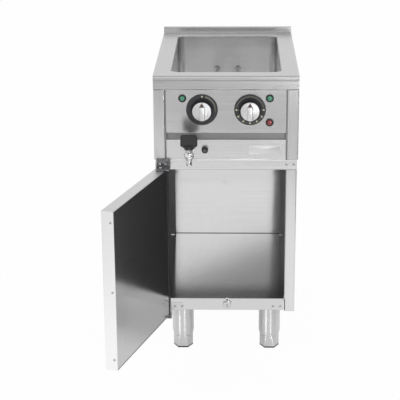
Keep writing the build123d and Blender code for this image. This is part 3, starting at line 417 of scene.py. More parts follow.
# %% Assign finishes
dressing = {
    front_steel: ["apron_panel", "cabinet_crossbar"],
    recess_painted_shade: ["recess_channel"],
    panel_steel: ["control_panel"],
    side_steel: ["upper_side_left", "upper_side_right", "cabinet_side_left", "cabinet_side_right",
                 "rear_panel", "base_tray"],
    top_steel: ["worktop"],
    well_painted_light: ["well"],
    liner_painted_shade: ["cabinet_liner_left", "cabinet_liner_right"],
    back_steel: ["cabinet_back"],
    floor_steel: ["cabinet_floor"],
    door_steel: ["door_shell"],
    mirror_steel: ["door_liner"],
    leg_finish: [part + corner for part in ("leg_", "foot_") for corner in corners],
    chrome: ["tap_body", "tap_stem", "tap_locknut", "switch_shaft", "thermostat_shaft", "element_nuts"],
    bracket_painted_shade: ["hinge_bracket_top"],
    fitting_steel: ["hinge_bracket_bottom", "door_catch"],
    screw_steel: ["front_screws", "door_rivets"],
    black_plastic: ["switch_knob", "thermostat_knob", "tap_lever", "reset_collar", "lamp_left_bezel",
                    "lamp_right_bezel", "lamp_low_bezel", "cable_gland"],
    dial_black: ["switch_dial", "thermostat_dial"],
    button_grey: ["reset_button"],
    cap_silver: ["switch_cap", "thermostat_cap"],
    green_lens: ["lamp_left_lens", "lamp_right_lens"],
    red_lens: ["lamp_low_lens"],
    plate_foil: ["nameplate"],
    element_steel: ["heating_element"],
    pipe_steel: ["drain_pipe"],
    grey_plastic: ["switch_body", "thermostat_body", "safety_limiter", "door_bushes"],
}
for material, names in dressing.items():
    for name in names:
        for holder in nodes[name].material_slots:
            holder.material = material
undressed = set(nodes) - {name for names in dressing.values() for name in names}
print("nodes left undressed:", sorted(undressed))

# %% [markdown]
# ## Tools for the small parts
# Knobs, lamps, taps and feet are turned or moulded parts. A turned part can be grown from a disc: the face
# at its end is extruded and resized from one station to the next, as a lathe follows a drawing. A few
# helpers keep the steps the same for every part, copy a part that repeats, and seat the finished part on the
# body that carries it. Each helper that starts a new step leaves edit mode first.


# %% Modelling helpers
def begin(*pieces):
    """Object mode with these pieces selected alone, so that the next operator acts on no others."""
    if bpy.context.mode != "OBJECT":
        bpy.ops.object.mode_set(mode="OBJECT")
    bpy.ops.object.select_all(action="DESELECT")
    for piece in pieces:
        piece.select_set(True)
    if pieces:
        bpy.context.view_layer.objects.active = pieces[0]


def grow(rise, scale=None, centre=(0, 0, 0)):
    """Extrudes what is selected along Z by so many millimetres, and scales its new end about a centre."""
    bpy.ops.mesh.extrude_region_move(TRANSFORM_OT_translate={"value": (0, 0, rise * mm)})
    if scale:
        bpy.ops.transform.resize(value=scale, center_override=centre)


def turned(name, stations, sides=64):
    """A part turned about Z. Each station is (height, radius) in millimetres."""
    begin()
    height, radius = stations[0]
    bpy.ops.mesh.primitive_circle_add(vertices=sides, radius=radius * mm, fill_type="NGON",
                                      location=(0, 0, height * mm))
    piece = bpy.context.active_object
    piece.name = name
    bpy.ops.object.transform_apply(location=True, rotation=False, scale=False)
    bpy.ops.object.mode_set(mode="EDIT")
    for next_height, next_radius in stations[1:]:
        ratio = next_radius / radius
        grow(next_height - height, (ratio, ratio, 1), (0, 0, next_height * mm))
        height, radius = next_height, next_radius
    bpy.ops.mesh.select_all(action="SELECT")
    bpy.ops.mesh.normals_make_consistent(inside=False)
    bpy.ops.object.mode_set(mode="OBJECT")
    return piece


def stand(piece, place, facing=(0, -1, 0), spin=0.0):
    """Turns a piece about its own Z by spin degrees, points that Z along facing, and moves it to a place."""
    begin(piece)
    aim = Vector(facing).to_track_quat("Z", "Y").to_matrix().to_4x4()
    piece.matrix_world = Matrix.Translation(place) @ aim @ Matrix.Rotation(math.radians(spin), 4, "Z")
    bpy.ops.object.transform_apply(location=True, rotation=True, scale=True)
    return piece


def settle(piece, material, body, replaced=(), rounding=0.0, angle=35):
    """Rounds the sharp edges, smooths the rest, and gives the piece its finish, body and slot."""
    begin(piece)
    if rounding:
        softener = piece.modifiers.new("softener", "BEVEL")
        softener.width = rounding * mm
        softener.segments = 2
        softener.limit_method = "ANGLE"
        softener.angle_limit = math.radians(angle)
        bpy.ops.object.modifier_apply(modifier=softener.name)
    bpy.ops.object.shade_smooth_by_angle(angle=math.radians(angle))
    piece.data.materials.clear()
    piece.data.materials.append(material)
    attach(piece, body)
    if replaced:
        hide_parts(*replaced)
    return piece


def middle_of(node):
    """The middle of a CAD node's box."""
    low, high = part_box(node)
    return (low + high) / 2


def back_of(node, axis=None):
    """The middle of the back of a CAD node's box, or the place there in line with another node."""
    middle = middle_of(axis or node)
    return Vector((middle.x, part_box(node)[1].y, middle.z))


def copies(model, names):
    """A piece for each name: the model itself, and copies of it with meshes of their own."""
    begin()
    pieces = [model]
    while len(pieces) < len(names):
        pieces.append(model.copy())
        pieces[-1].data = model.data.copy()
        bpy.context.collection.objects.link(pieces[-1])
    for piece, name in zip(pieces, names):
        piece.name = name
    return pieces


print("helpers ready")

# %% [markdown]
# ## Dial plates
# Behind each knob sits a black ring with a bevelled rim, on which the scale is printed. It is turned in one
# go, with a small step down to the knob.

# %% Dial plates
dial_profile = [(0, 43.5), (2.4, 43.5), (3.8, 42.0), (3.8, 31.0), (3.2, 30.2), (3.2, 6.0), (0.5, 5.5)]
dial_face = 3.8
dial_places = {node: back_of(node) for node in ("switch_dial", "thermostat_dial")}
plates = copies(turned("plate", dial_profile, 96), [node + "_plate" for node in dial_places])
for node, plate in zip(dial_places, plates):
    stand(plate, dial_places[node])
    settle(plate, dial_black, "unit", [node], rounding=0.2)
print("dial plates:", list(dial_places))

# %% [markdown]
# ## The printed scales
# The switch has a dot for off and a band that tapers as the heat goes down; the thermostat has a line over
# the top, dots for the steps and small numbers. The print is a raised film a tenth of a millimetre thick:
# a ring between two circles, cut to length by planes through the centre. Shifting one circle aside tapers
# the band.


# %% Scale parts
print_lift = 0.12


def printed_band(name, inner, outer, start, end, shift=(0.0, 0.0)):
    """A film between two circles, from start to end in degrees clockwise from the top."""
    begin()
    bpy.ops.mesh.primitive_circle_add(vertices=180, radius=inner * mm, fill_type="NOTHING")
    piece = bpy.context.active_object
    piece.name = name
    bpy.ops.object.mode_set(mode="EDIT")
    bpy.ops.mesh.select_mode(type="VERT")
    bpy.ops.mesh.select_all(action="SELECT")
    bpy.ops.mesh.extrude_region_move()
    ratio = outer / inner
    bpy.ops.transform.resize(value=(ratio, ratio, 1), center_override=(0, 0, 0))
    bpy.ops.transform.translate(value=(shift[0] * mm, shift[1] * mm, 0))
    for degrees, first in ((start, True), (end, False)):
        turn_angle = math.radians(degrees)
        bpy.ops.mesh.select_all(action="SELECT")
        bpy.ops.mesh.bisect(plane_co=(0, 0, 0), plane_no=(math.cos(turn_angle), -math.sin(turn_angle), 0),
                            clear_inner=first, clear_outer=not first)
    bpy.ops.mesh.select_all(action="SELECT")
    grow(print_lift)
    bpy.ops.mesh.select_all(action="SELECT")
    bpy.ops.mesh.normals_make_consistent(inside=False)
    bpy.ops.object.mode_set(mode="OBJECT")
    return piece


def around(radius, degrees):
    """A place on a dial: radius in millimetres, degrees clockwise from the top."""
    turn_angle = math.radians(degrees)
    return Vector((radius * math.sin(turn_angle), radius * math.cos(turn_angle), 0)) * mm


def printed_dot(name, size):
    """A round spot of the film."""
    return turned(name, [(0, size), (print_lift, size), (1.4 * print_lift, 0.8 * size)], 24)


def printed_number(words, size, place):
    """A number of the film, upright, with its middle at the place."""
    begin()
    bpy.ops.object.text_add()
    number = bpy.context.active_object
    number.data.body = words
    number.data.size = size * mm
    number.data.extrude = print_lift / 2 * mm
    number.data.align_x = "CENTER"
    number.data.align_y = "CENTER"
    bpy.ops.object.convert(target="MESH")
    raised = place + Vector((0, 0, print_lift / 2 * mm))
    return stand(bpy.context.active_object, raised, facing=(0, 0, 1), spin=180)


print("film:", print_lift, "mm thick")

# %% [markdown]
# Now the two scales are put together on a flat plan, with the top of the dial along Y, and then stood up on
# the faces of the dials. Dots and lines are printed in two inks, so they stay two pieces on each dial.


# %% Scales
def joined(name, pieces):
    """Several pieces made one, which is the first of them under a new name."""
    begin(*pieces)
    bpy.ops.object.join()
    pieces[0].name = name
    return pieces[0]


scale_radius = 37.4
number_radius = 32.7
switch_dots = [stand(printed_dot("off_dot", 2.3), around(scale_radius, 0), facing=(0, 0, 1))]
switch_lines = [printed_band("heat_band", 35.6, 37.6, 14, 100, shift=(-0.5, 2.2))]
thermostat_lines = [printed_band("scale_line", 36.7, 38.1, -80, 80),
                    printed_band("lower_line_right", 36.9, 37.9, 122, 176),
                    printed_band("lower_line_left", 36.9, 37.9, 184, 238)]
step_turns = [90 + 30 * step for step in range(7)]
thermostat_dots = copies(printed_dot("step_dot", 2.4), ["step_dot"] * len(step_turns))
for step, turns in enumerate(step_turns):
    stand(thermostat_dots[step], around(scale_radius, turns), facing=(0, 0, 1))
    thermostat_dots.append(printed_number(str(30 + 10 * step), 3.1, around(number_radius, turns)))
for node, dots, lines in (("switch_dial", switch_dots, switch_lines),
                          ("thermostat_dial", thermostat_dots, thermostat_lines)):
    for label, pieces, ink in (("_dots", dots, dot_print), ("_lines", lines, line_print)):
        scale = joined(node + label, pieces)
        stand(scale, dial_places[node] + Vector((0, -dial_face * mm, 0)))
        settle(scale, ink, "unit")
print("printed pieces:", len(switch_dots) + len(switch_lines), "and",
      len(thermostat_dots) + len(thermostat_lines))

# %% [markdown]
# ## Knobs
# Each knob is a black moulding with grip flutes, faced with a brushed silver cap. A broad ridge across the
# cap gives the fingers hold, and above its end a dark wedge on the cap points at the scale. The flutes are
# every third row of points drawn in a little; the ridge is a strip of the cap's face, raised.


# %% Knob shapes
def start_picking(kind):
    """Clears the selection and sets what is picked: FACE, EDGE or VERT. A test can then mark the mesh."""
    bpy.ops.object.mode_set(mode="EDIT")
    bpy.ops.mesh.select_mode(type=kind)
    bpy.ops.mesh.select_all(action="DESELECT")
    bpy.ops.object.mode_set(mode="OBJECT")


def pick_faces(piece, test):
    """Edit mode with the faces selected whose centre and normal pass the test."""
    start_picking("FACE")
    for face in piece.data.polygons:
        face.select = test(face.center, face.normal)
    bpy.ops.object.mode_set(mode="EDIT")


def raise_strip(piece, top, cuts, kept, rise, scale=None):
    """Cuts the faces above a height along planes, and raises the part of them that is kept."""
    def on_top(place, normal):
        return normal.z > 0.9 and place.z > top * mm

    for along, across in cuts:
        pick_faces(piece, on_top)
        bpy.ops.mesh.bisect(plane_co=Vector(across) * along * mm, plane_no=across)
    pick_faces(piece, lambda place, normal: on_top(place, normal) and kept(place))
    grow(rise, scale)


knob_profile = [(0, 26.2), (0.8, 27.0), (16.0, 26.8), (17.7, 26.2), (18.4, 25.0)]
flute_share = 0.96
flute_angle = math.radians(5)
grip = turned("grip", knob_profile, 72)
start_picking("VERT")
for point in grip.data.vertices:
    row = round(math.atan2(point.co.x, point.co.y) / flute_angle)
    point.select = row % 3 == 0 and 0.5 * mm < point.co.z < 17 * mm
bpy.ops.object.mode_set(mode="EDIT")
bpy.ops.transform.resize(value=(flute_share, flute_share, 1), center_override=(0, 0, 0))

cap_profile = [(0, 24.5), (0.3, 26.0), (1.3, 26.0), (2.0, 25.2)]
ridge_half = 7.5
ridge_rise = 7.0
ridge_end = 13.5
ridge_cuts = ((-ridge_half, (1, 0, 0)), (ridge_half, (1, 0, 0)), (ridge_end, (0, 1, 0)))
cap = turned("cap", cap_profile, 96)
raise_strip(cap, 1.9, ridge_cuts, lambda place: abs(place.x) < 2 * mm and place.y < ridge_end * mm,
            ridge_rise, scale=(0.9, 0.97, 1))

wedge_radius = 7.6
wedge_thick = 0.5
wedge = turned("wedge", [(0, wedge_radius), (wedge_thick, wedge_radius)], 3)
print("knob:", len(grip.data.vertices), "points on the grip,", len(cap.data.vertices), "on the cap")

# %% [markdown]
# The two knobs are alike. Each of the three parts is copied with a mesh of its own, not linked, because every
# copy is then moved to its knob within its mesh. All three ride on the knob's body and turn with it.

# %% Knobs
knobs = ("switch", "thermostat")
grips = copies(grip, [knob + "_grip" for knob in knobs])
caps = copies(cap, [knob + "_cap_face" for knob in knobs])
wedges = copies(wedge, [knob + "_pointer" for knob in knobs])
wedge_place = Vector((0, 0.15 - cap_profile[-1][0], 17.4)) * mm
for knob, grip, cap, wedge in zip(knobs, grips, caps, wedges):
    body = knob + "_knob"
    cap_place = back_of(knob + "_cap", body)
    stand(grip, back_of(body))
    settle(grip, black_plastic, body, [body], angle=25)
    stand(cap, cap_place)
    settle(cap, cap_silver, body, [knob + "_cap"], rounding=0.6)
    stand(wedge, cap_place + wedge_place)
    settle(wedge, pointer_brown, body, rounding=0.1)
print("knobs dressed")

# %% [markdown]
# ## Signal lamps
# Two green lamps and a red one: a black bezel with a rounded rim, a barrel behind the panel, and a domed
# lens. The lens is turned in small steps, so that it catches one soft spot of light.

# %% Signal lamps
bezel_profile = [(0, 6.4), (28, 6.4), (28, 11.2), (29.8, 11.2), (30.6, 10.7), (31, 9.9), (31, 7.9),
                 (30.4, 7.2), (29, 7.1)]
lens_profile = [(0, 6.9), (2.0, 6.9), (2.9, 6.5), (3.6, 5.6), (4.0, 4.3), (4.2, 2.7), (4.25, 0.9)]
lamps = (("lamp_left", green_lens, "green_lens"), ("lamp_right", green_lens, "green_lens"),
         ("lamp_low", red_lens, "red_lens"))
bezels = copies(turned("rim", bezel_profile, 48), [lamp + "_rim" for lamp, glass, slot in lamps])
domes = copies(turned("dome", lens_profile, 48), [lamp + "_dome" for lamp, glass, slot in lamps])
for (lamp, glass, slot), bezel, dome in zip(lamps, bezels, domes):
    stand(bezel, back_of(lamp + "_bezel"))
    settle(bezel, black_plastic, "unit", [lamp + "_bezel"], rounding=0.15)
    stand(dome, back_of(lamp + "_lens", lamp + "_bezel"))
    settle(dome, glass, "unit", [lamp + "_lens"], angle=50)
print("lamps dressed")

# %% [markdown]
# ## Reset button
# The safety thermostat is reset by a grey button that sits in a black collar, so that it can't be pressed
# by chance. Both are turned; the button's end is dished for the finger.

# %% Reset button
collar_profile = [(0, 6.0), (12, 6.0), (12, 9.0), (22.4, 9.0), (23.6, 8.2), (24, 7.2), (24, 5.8), (23, 5.3),
                  (13.5, 5.3)]
button_profile = [(0, 4.9), (8.8, 4.9), (9.7, 4.5), (10, 3.9), (9.7, 2.6), (9.5, 1.0)]
collar = turned("reset_sleeve", collar_profile, 48)
stand(collar, back_of("reset_collar"))
settle(collar, black_plastic, "unit", ["reset_collar"], rounding=0.2)
button = turned("reset_plunger", button_profile, 40)
stand(button, back_of("reset_button", "reset_collar"))
settle(button, button_grey, "reset_button", ["reset_button"], rounding=0.15)
print("reset button dressed")

# %% [markdown]
# ## Drain tap
# A chrome ball valve: a hexagon nut on the apron, a pipe, the ball, a spout below and a neck above. The
# upright part is one turning from the spout's bore to the neck. The ball's stations lie on a circle. From the
# neck the turning goes back down inside, around the stem and the drilled ball that turn in it.

# %% Tap body
tap_low, tap_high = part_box("tap_body")
stem_centre = middle_of("tap_stem")
ball_radius = 13.0
ball_lift = 28.0 * mm
ball_place = Vector((stem_centre.x, stem_centre.y, tap_low.z + ball_lift))
ball_steps = 14
ball_start = math.asin(6.9 / ball_radius)
tap_profile = [(-21, 4.8), (-28, 5.0), (-28, 6.8), (-27.2, 7.5), (-15.4, 7.5), (-14.6, 6.9), (-12.4, 6.9)]
for step in range(1, ball_steps):
    polar = ball_start + (math.pi - 2 * ball_start) * step / ball_steps
    tap_profile.append((-ball_radius * math.cos(polar), ball_radius * math.sin(polar)))
tap_profile += [(11.1, 6.9), (12.6, 6.9), (13.2, 8.2), (15.0, 8.2), (15.6, 7.4), (18.0, 7.4), (18.0, 4.4)]
hollow_radius = 8.7
hollow_start = math.asin(4.4 / hollow_radius)
for step in range(ball_steps):
    polar = hollow_start + (math.pi - hollow_start) * step / ball_steps
    tap_profile.append((hollow_radius * math.cos(polar), hollow_radius * math.sin(polar)))
valve = turned("tap_valve", tap_profile, 64)
stand(valve, ball_place, facing=(0, 0, 1))
pipe_run = tap_high.y - ball_place.y
inlet = turned("tap_inlet", [(0, 8.8), (26, 8.8), (27, 8.2), (pipe_run / mm - 10, 8.2)], 48)
stand(inlet, (ball_place.x, tap_high.y, ball_place.z))
nut = turned("tap_nut", [(0, 14.2), (0.9, 15.5), (7.6, 15.5), (8.8, 13.8), (9.0, 9.5)], 6)
stand(nut, (ball_place.x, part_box("apron_panel")[0].y, ball_place.z), spin=30)
settle(joined("tap_valve_body", [valve, inlet, nut]), chrome, "unit", ["tap_body"], rounding=0.25)
print("tap ball at", [round(value, 4) for value in ball_place])

# %% [markdown]
# The lever is a black moulded paddle that stands on a round hub. It starts as a box: its lower face is
# drawn in towards the hub, its upper face is drawn in for a crown, and a panel is sunk into the front and
# the back.


# %% Tap lever
def block(name, low, high):
    """A box between two corners, in metres, to be shaped further."""
    begin()
    middle = (Vector(low) + Vector(high)) / 2
    bpy.ops.mesh.primitive_cube_add(size=1, location=middle, scale=Vector(high) - Vector(low))
    piece = bpy.context.active_object
    piece.name = name
    bpy.ops.object.transform_apply(location=True, rotation=True, scale=True)
    return piece


def round_edges(piece, radius, test, segments=4):
    """Rounds the edges whose two ends pass the test."""
    start_picking("EDGE")
    for edge in piece.data.edges:
        first, second = (piece.data.vertices[index].co for index in edge.vertices)
        edge.select = test(first, second)
    bpy.ops.object.mode_set(mode="EDIT")
    bpy.ops.mesh.bevel(offset=radius * mm, segments=segments, affect="EDGES")


def inset(piece, test, *steps):
    """Insets each face that passes the test, once for each (width, rise) in millimetres."""
    pick_faces(piece, test)
    for width, rise in steps:
        bpy.ops.mesh.inset(thickness=width * mm, depth=rise * mm, use_individual=True)


lever_low, lever_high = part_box("tap_lever")
hub_height = 11.0
crown = 2.0
paddle_wide = lever_high.x - lever_low.x
paddle_thick = 15.0 * mm
paddle_half = Vector((paddle_wide / 2, paddle_thick / 2, 0))
paddle_foot = Vector((stem_centre.x, stem_centre.y, lever_low.z + hub_height * mm))
paddle_top = Vector((stem_centre.x, stem_centre.y, lever_high.z - crown * mm))
hub_profile = [(0, 12.6), (0.8, 13.4), (hub_height - 1.5, 13.4), (hub_height, 12.0), (hub_height, 6.0)]
hub = turned("lever_hub", hub_profile, 48)
stand(hub, (stem_centre.x, stem_centre.y, lever_low.z), facing=(0, 0, 1))
paddle = block("paddle", paddle_foot - paddle_half, paddle_top + paddle_half)
round_edges(paddle, 4.0, lambda first, second: abs(first.y - second.y) > 0.5 * paddle_thick
            and first.z > paddle_foot.z + 5 * mm)
pick_faces(paddle, lambda place, normal: normal.z < -0.9)
grow(-8.0, (0.42, 0.9, 1), paddle_foot)
inset(paddle, lambda place, normal: abs(normal.y) > 0.9 and place.z > paddle_foot.z, (2.6, 0), (1.2, -1.4))
pick_faces(paddle, lambda place, normal: normal.z > 0.9)
grow(crown, (0.86, 0.6, 1), paddle_top)
settle(joined("tap_paddle", [paddle, hub]), black_plastic, "tap_lever", ["tap_lever"],
       rounding=0.6)
print("lever", round(paddle_wide / mm), "mm wide")

# %% [markdown]
# ## Feet
# Each foot is a steel shell whose upper part slides in the leg. Its lower part closes flush against the leg,
# is pressed into six flats for a spanner, and stands on a thin black pad. The flats are cuts by six leaning
# planes, which widen towards the floor as the real ones do. A flat faces the front.

# %% Feet
shoulder = 38.7
foot_profile = [(4.6, 28.1), (shoulder - 1.1, 28.1), (shoulder, 26.9), (shoulder, 26.5), (111.0, 26.5),
                (112.0, 25.6), (112.0, 21.5), (20.0, 21.5)]
pad_profile = [(0, 27.4), (0.5, 28.1), (4.4, 28.4), (4.8, 27.8)]
flat_low = 24.3
flat_lean = math.radians(4.0)
shell = turned("shell", foot_profile, 72)
for flat in range(6):
    heading = math.radians(60 * flat)
    ahead = Vector((math.sin(heading), -math.cos(heading), 0))
    outwards = ahead * math.cos(flat_lean) + Vector((0, 0, -math.sin(flat_lean)))
    bpy.ops.object.mode_set(mode="EDIT")
    bpy.ops.mesh.select_all(action="SELECT")
    bpy.ops.mesh.bisect(plane_co=ahead * flat_low * mm, plane_no=outwards, use_fill=True, clear_outer=True)
    bpy.ops.object.mode_set(mode="OBJECT")
feet = ["foot_" + corner for corner in corners]
shells = copies(shell, [foot + "_shell" for foot in feet])
pads = copies(turned("pad", pad_profile, 6), [foot + "_pad" for foot in feet])
for foot, shell, pad in zip(feet, shells, pads):
    place = Vector((middle_of(foot).x, middle_of(foot).y, 0))
    stand(shell, place, facing=(0, 0, 1))
    settle(shell, leg_finish, foot, [foot], rounding=0.4, angle=20)
    strip_lit.objects.link(shell)
    stand(pad, place, facing=(0, 0, 1), spin=30)
    settle(pad, black_plastic, foot, rounding=0.3)
print("feet dressed")

# %% [markdown]
# ## Nameplate
# A bare foil plate with a pressed frame. The face of a box is inset and sunk a little, so that the frame
# stands proud. The corners are rounded last, because an inset wider than a corner's radius would fold over.


# %% Nameplate
def looks_ahead(place, normal):
    """A test for the faces on the front of a piece."""
    return normal.y < -0.9


plate_low, plate_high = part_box("nameplate")
plate = block("nameplate_foil", plate_low, plate_high)
inset(plate, looks_ahead, (1.6, 0), (0.4, -0.4), (2.4, 0), (0.3, 0.15))
round_edges(plate, 2.0, lambda first, second: abs(first.y - second.y) > 0.7 * mm)
settle(plate, plate_foil, "unit", ["nameplate"], rounding=0.12)
print("nameplate", round((plate_high.x - plate_low.x) / mm), "mm wide")

# %% [markdown]
# ## Seals
# Where the control front meets the two posts, a grey strip fills the joint and keeps splashes out. Each is a
# box as wide as the joint, set back a little, with a groove sunk along its face.

# %% Seals
front_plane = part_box("cabinet_crossbar")[0].y
seal_set = 2.5
seal_deep = 10.0
panel_low, panel_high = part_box("control_panel")
seal_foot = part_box("apron_panel")[0].z
panel_joints = (("left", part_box("upper_side_left")[1].x, panel_low.x),
                ("right", panel_high.x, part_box("upper_side_right")[0].x))
for side, edge_low, edge_high in panel_joints:
    seal = block("panel_seal_" + side, (edge_low, front_plane + seal_set * mm, seal_foot),
                 (edge_high, front_plane + (seal_set + seal_deep) * mm, panel_high.z))
    inset(seal, looks_ahead, (1.1, 0), (0.3, -0.8))
    settle(seal, grey_plastic, "unit", rounding=0.3)
print("seals:", round((edge_high - edge_low) / mm, 2), "mm wide")

# %% [markdown]
# ## Screws
# The front is held by slotted pan head screws: two on each hinge bracket, two at the other end of the
# crossbar and of the rail. One is modelled and copied, each copy standing on the sheet or bracket under it.

# %% Screws
screw_low, screw_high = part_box("front_screws")
head_radius = 3.5
bracket_plate = 2.5
upper_row = screw_high.z - head_radius * mm
lower_row = screw_low.z + head_radius * mm
left_screw = screw_low.x + head_radius * mm
screw_places = [(0, upper_row, bracket_plate), (15, upper_row, bracket_plate), (352.5, upper_row, 0),
                (373, upper_row, 0), (37.5, lower_row, bracket_plate), (58, lower_row, bracket_plate),
                (320, lower_row, 0), (340.5, lower_row, 0)]
screw_profile = [(-8.0, 2.0), (0, 2.0), (0, head_radius), (0.5, head_radius), (1.0, 3.0), (1.3, 2.2),
                 (1.4, 1.6)]
slot_cuts = ((-0.35, (1, 0, 0)), (0.35, (1, 0, 0)))
slot_depth = 0.6
screw = turned("screw", screw_profile, 24)
raise_strip(screw, 1.35, slot_cuts, lambda place: abs(place.x) < 0.1 * mm, -slot_depth)
screws = copies(screw, ["front_screw"] * len(screw_places))
for index, (across, row, seat) in enumerate(screw_places):
    stand(screws[index], (left_screw + across * mm, front_plane - seat * mm, row), spin=17 * index)
# The first screw takes the lighter fitting steel, though the screws are alike: a painted highlight.
settle(joined("hinge_screw_head", screws[:1]), fitting_steel, "unit", angle=30)
settle(joined("front_screw_heads", screws[1:]), screw_steel, "unit", ["front_screws"], angle=30)
print("screws:", len(screw_places))

# %% [markdown]
# ## Hinge fittings
# The upper hinge plate has a slot in which its screws can shift until the door hangs straight, and the
# pivot pin ends in a bright riveted head. The slot is a thin black inlay with round ends: painted shade in
# place of an open slot. The door's hinge end is closed by a rubber bead in the corner beside its liner, and
# turns with the door.

# %% Hinge fittings
slot_half = 2.0
plate_face = front_plane - bracket_plate * mm
# Painted shade: a black inlay where the slot would be open.
slot = block("hinge_slot_shade", (left_screw - 7.0 * mm, plate_face - 0.2 * mm, upper_row - slot_half * mm),
             (left_screw + 18.5 * mm, plate_face + 0.5 * mm, upper_row + slot_half * mm))
round_edges(slot, 0.95 * slot_half, lambda first, second: abs(first.y - second.y) > 0.5 * mm, segments=5)
settle(slot, black_plastic, "unit")
hinge_in = 13.0
hinge_ahead = 25.0
hinge_axis = Vector((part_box("hinge_bracket_top")[0].x + hinge_in * mm, front_plane - hinge_ahead * mm, 0))
pin_stand = 5.1
pin_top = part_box("door_shell")[1].z + pin_stand * mm
pin_cap = turned("hinge_pin_cap", [(-0.4, 4.2), (0.6, 4.2), (1.5, 3.4), (2.0, 2.1), (2.2, 0.8)], 32)
stand(pin_cap, hinge_axis + Vector((0, 0, pin_top)), facing=(0, 0, 1))
settle(pin_cap, fitting_steel, "unit", angle=50)
liner_low, liner_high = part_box("door_liner")
bead = block("door_bead", (-13.2 * mm, 14.6 * mm, liner_low.z), (-9.4 * mm, 17.5 * mm, liner_high.z))
inset(bead, lambda place, normal: normal.y > 0.9, (0.7, 0.3))
stand(bead, hinge_axis, facing=(0, 0, 1), spin=180 - math.degrees(door_open))
settle(bead, black_plastic, "door", rounding=0.2)
print("pin cap at", [round(value, 4) for value in hinge_axis])

# %% [markdown]
# ## Door catch
# The catch on the rail is a pressed disc on a lug. A screw holds it through the dish, the lug has a hole for
# the bolt, and the rail is slotted on both sides of it so that it can spring. The hole and the slots are
# black films on the surface: painted shade in place of the openings.

# %% Door catch
catch_low, catch_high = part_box("door_catch")
catch_middle = (catch_low.x + catch_high.x) / 2
dish_height = 11.5
dish_depth = 3.5
catch_centre = catch_low.z + dish_height * mm
catch_screw = turned("catch_screw", [(-1.0, 1.8), (0, 1.8), (0, 3.0), (0.7, 3.0), (1.2, 2.3), (1.4, 1.2)], 24)
stand(catch_screw, (catch_middle, front_plane - dish_depth * mm, catch_centre))
settle(catch_screw, screw_steel, "unit", angle=30)
# Painted shade: the hole and the slots are black films, not openings.
lug_hole = stand(printed_dot("lug_hole", 2.5), Vector((0, 16.2, 2.0)) * mm, facing=(0, 0, 1))
catch_hole_shades = joined("catch_slots", [lug_hole, printed_band("slot_right", 14.0, 15.8, 24, 54),
                                     printed_band("slot_left", 14.0, 15.4, -50, -34)])
stand(catch_hole_shades, (catch_middle, front_plane, catch_centre))
settle(catch_hole_shades, black_plastic, "unit")
print("catch dressed at", round(catch_middle, 4), round(catch_centre, 4))

# %% [markdown]
# ## Inside the cabinet
# A peg on each wall carries the end of a shelf. The pegs are turned, and their feet stand in the walls. A
# bead seals the corner between the floor and the back: a thin box whose free edge is rounded.

# %% Pegs and floor bead
peg_profile = [(-0.5, 5.5), (1.2, 5.5), (1.8, 3.6), (11.0, 3.6), (12.0, 2.8)]
peg_depth = 230.0
peg_height = 286.0
wall_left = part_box("cabinet_liner_left")[1].x
wall_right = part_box("cabinet_liner_right")[0].x
pegs = copies(turned("peg", peg_profile, 32), ["shelf_peg_left", "shelf_peg_right"])
for peg, wall, inwards in zip(pegs, (wall_left, wall_right), (1, -1)):
    stand(peg, (wall, front_plane + peg_depth * mm, peg_height * mm), facing=(inwards, 0, 0))
    settle(peg, screw_steel, "unit", rounding=0.3)
floor_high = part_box("cabinet_floor")[1].z
back_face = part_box("cabinet_back")[0].y
bead_size = 1.4 * mm
floor_bead = block("floor_bead", (wall_left, back_face - bead_size, floor_high),
                   (wall_right, back_face, floor_high + bead_size))
round_edges(floor_bead, 0.9, lambda first, second: max(first.y, second.y) < back_face - 1 * mm
            and min(first.z, second.z) > floor_high + 1 * mm)
settle(floor_bead, grey_plastic, "unit", angle=50)
print("pegs", peg_height, "mm above the floor")

# %% [markdown]
# ## Joints of the front
# A flat steel bead closes the joint between the apron and the crossbar. Between the rail and the right post a
# black strip darkens the gap: painted shade. The finger recess and the crossbar are folded channels, so small
# pressed plates close their ends; the recess's plates take its painted shade. All are boxes with an inset
# face, since a plain box would show no pressed edge.


# %% Joints
def looks_aside(place, normal):
    """A test for the faces on the left and the right of a piece."""
    return abs(normal.x) > 0.9


joint_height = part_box("cabinet_crossbar")[1].z
apron_bead = block("apron_bead", (panel_low.x, front_plane + 0.1 * mm, joint_height - 1.6 * mm),
                   (panel_high.x, front_plane + 3 * mm, joint_height + 2.2 * mm))
inset(apron_bead, looks_ahead, (0.6, 0), (0.2, 0.1))
settle(apron_bead, front_steel, "unit", rounding=0.2)
channel_low, channel_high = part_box("recess_channel")
for side, edge_low, edge_high in panel_joints:
    recess_end = block("recess_end_" + side,
                       (edge_low + 0.1 * mm, front_plane + seal_deep * mm, channel_low.z - 2 * mm),
                       (edge_high - 0.1 * mm, channel_high.y, channel_high.z + 2 * mm))
    inset(recess_end, looks_aside, (1.0, -0.2))
    settle(recess_end, recess_painted_shade, "unit", rounding=0.2)
rail_low, rail_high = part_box("cabinet_floor")
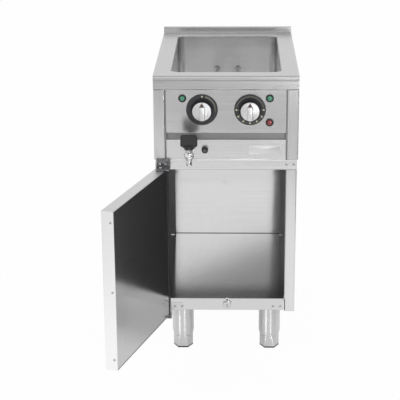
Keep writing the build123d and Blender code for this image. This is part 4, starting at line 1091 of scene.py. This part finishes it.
# Painted shade: a black strip that darkens the gap beside the right post.
rail_gap_shade = block("rail_gap_shade", (rail_high.x - 0.6 * mm, front_plane - 0.2 * mm, rail_low.z),
                  (rail_high.x + 1.2 * mm, front_plane + 2 * mm, rail_high.z - 1 * mm))
inset(rail_gap_shade, looks_ahead, (0.4, -0.2))
settle(rail_gap_shade, black_plastic, "unit")
bar_low, bar_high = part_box("cabinet_crossbar")
inside = 0.2 * mm
for side, outer_x, outwards in (("left", bar_low.x, -1), ("right", bar_high.x, 1)):
    ends = sorted((outer_x - 1.5 * outwards * mm, outer_x + 0.2 * outwards * mm))
    end_plate = block("crossbar_end_" + side, (ends[0], bar_low.y + inside, bar_low.z + inside),
                      (ends[1], bar_high.y - inside, bar_high.z - inside))
    inset(end_plate, looks_aside, (2.0, -0.3))
    settle(end_plate, front_steel, "unit", rounding=0.2)
print("joint of the apron at", round(joint_height, 4))

# %% [markdown]
# ## Cable gland
# The supply cable leaves the back through a plastic gland: a hexagon nut on the sheet and a dome that is
# screwed tight around the cable.

# %% Cable gland
gland_low, gland_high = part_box("cable_gland")
gland_run = (gland_high.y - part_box("rear_panel")[1].y) / mm
gland_half = (gland_high.x - gland_low.x) / 2 / mm
gland_base = middle_of("cable_gland")
gland_seat = Vector((gland_base.x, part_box("rear_panel")[1].y, gland_base.z))
gland_nut = turned("gland_nut", [(0, gland_half - 0.6), (0.6, gland_half), (0.4 * gland_run, gland_half),
                                 (0.45 * gland_run, gland_half - 0.8)], 6)
dome_profile = [(-8.0, 0.62), (0.4 * gland_run, 0.7), (0.75 * gland_run, 0.7), (0.93 * gland_run, 0.58),
                (gland_run, 0.42), (gland_run, 0.3), (0.5 * gland_run, 0.28)]
gland_dome = turned("gland_dome", [(height, share * gland_half) for height, share in dome_profile], 36)
gland = joined("cable_gland_body", [gland_nut, gland_dome])
stand(gland, gland_seat, facing=(0, 1, 0))
settle(gland, black_plastic, "unit", ["cable_gland"], rounding=0.3)
print("gland stands out", round(gland_run, 1), "mm")
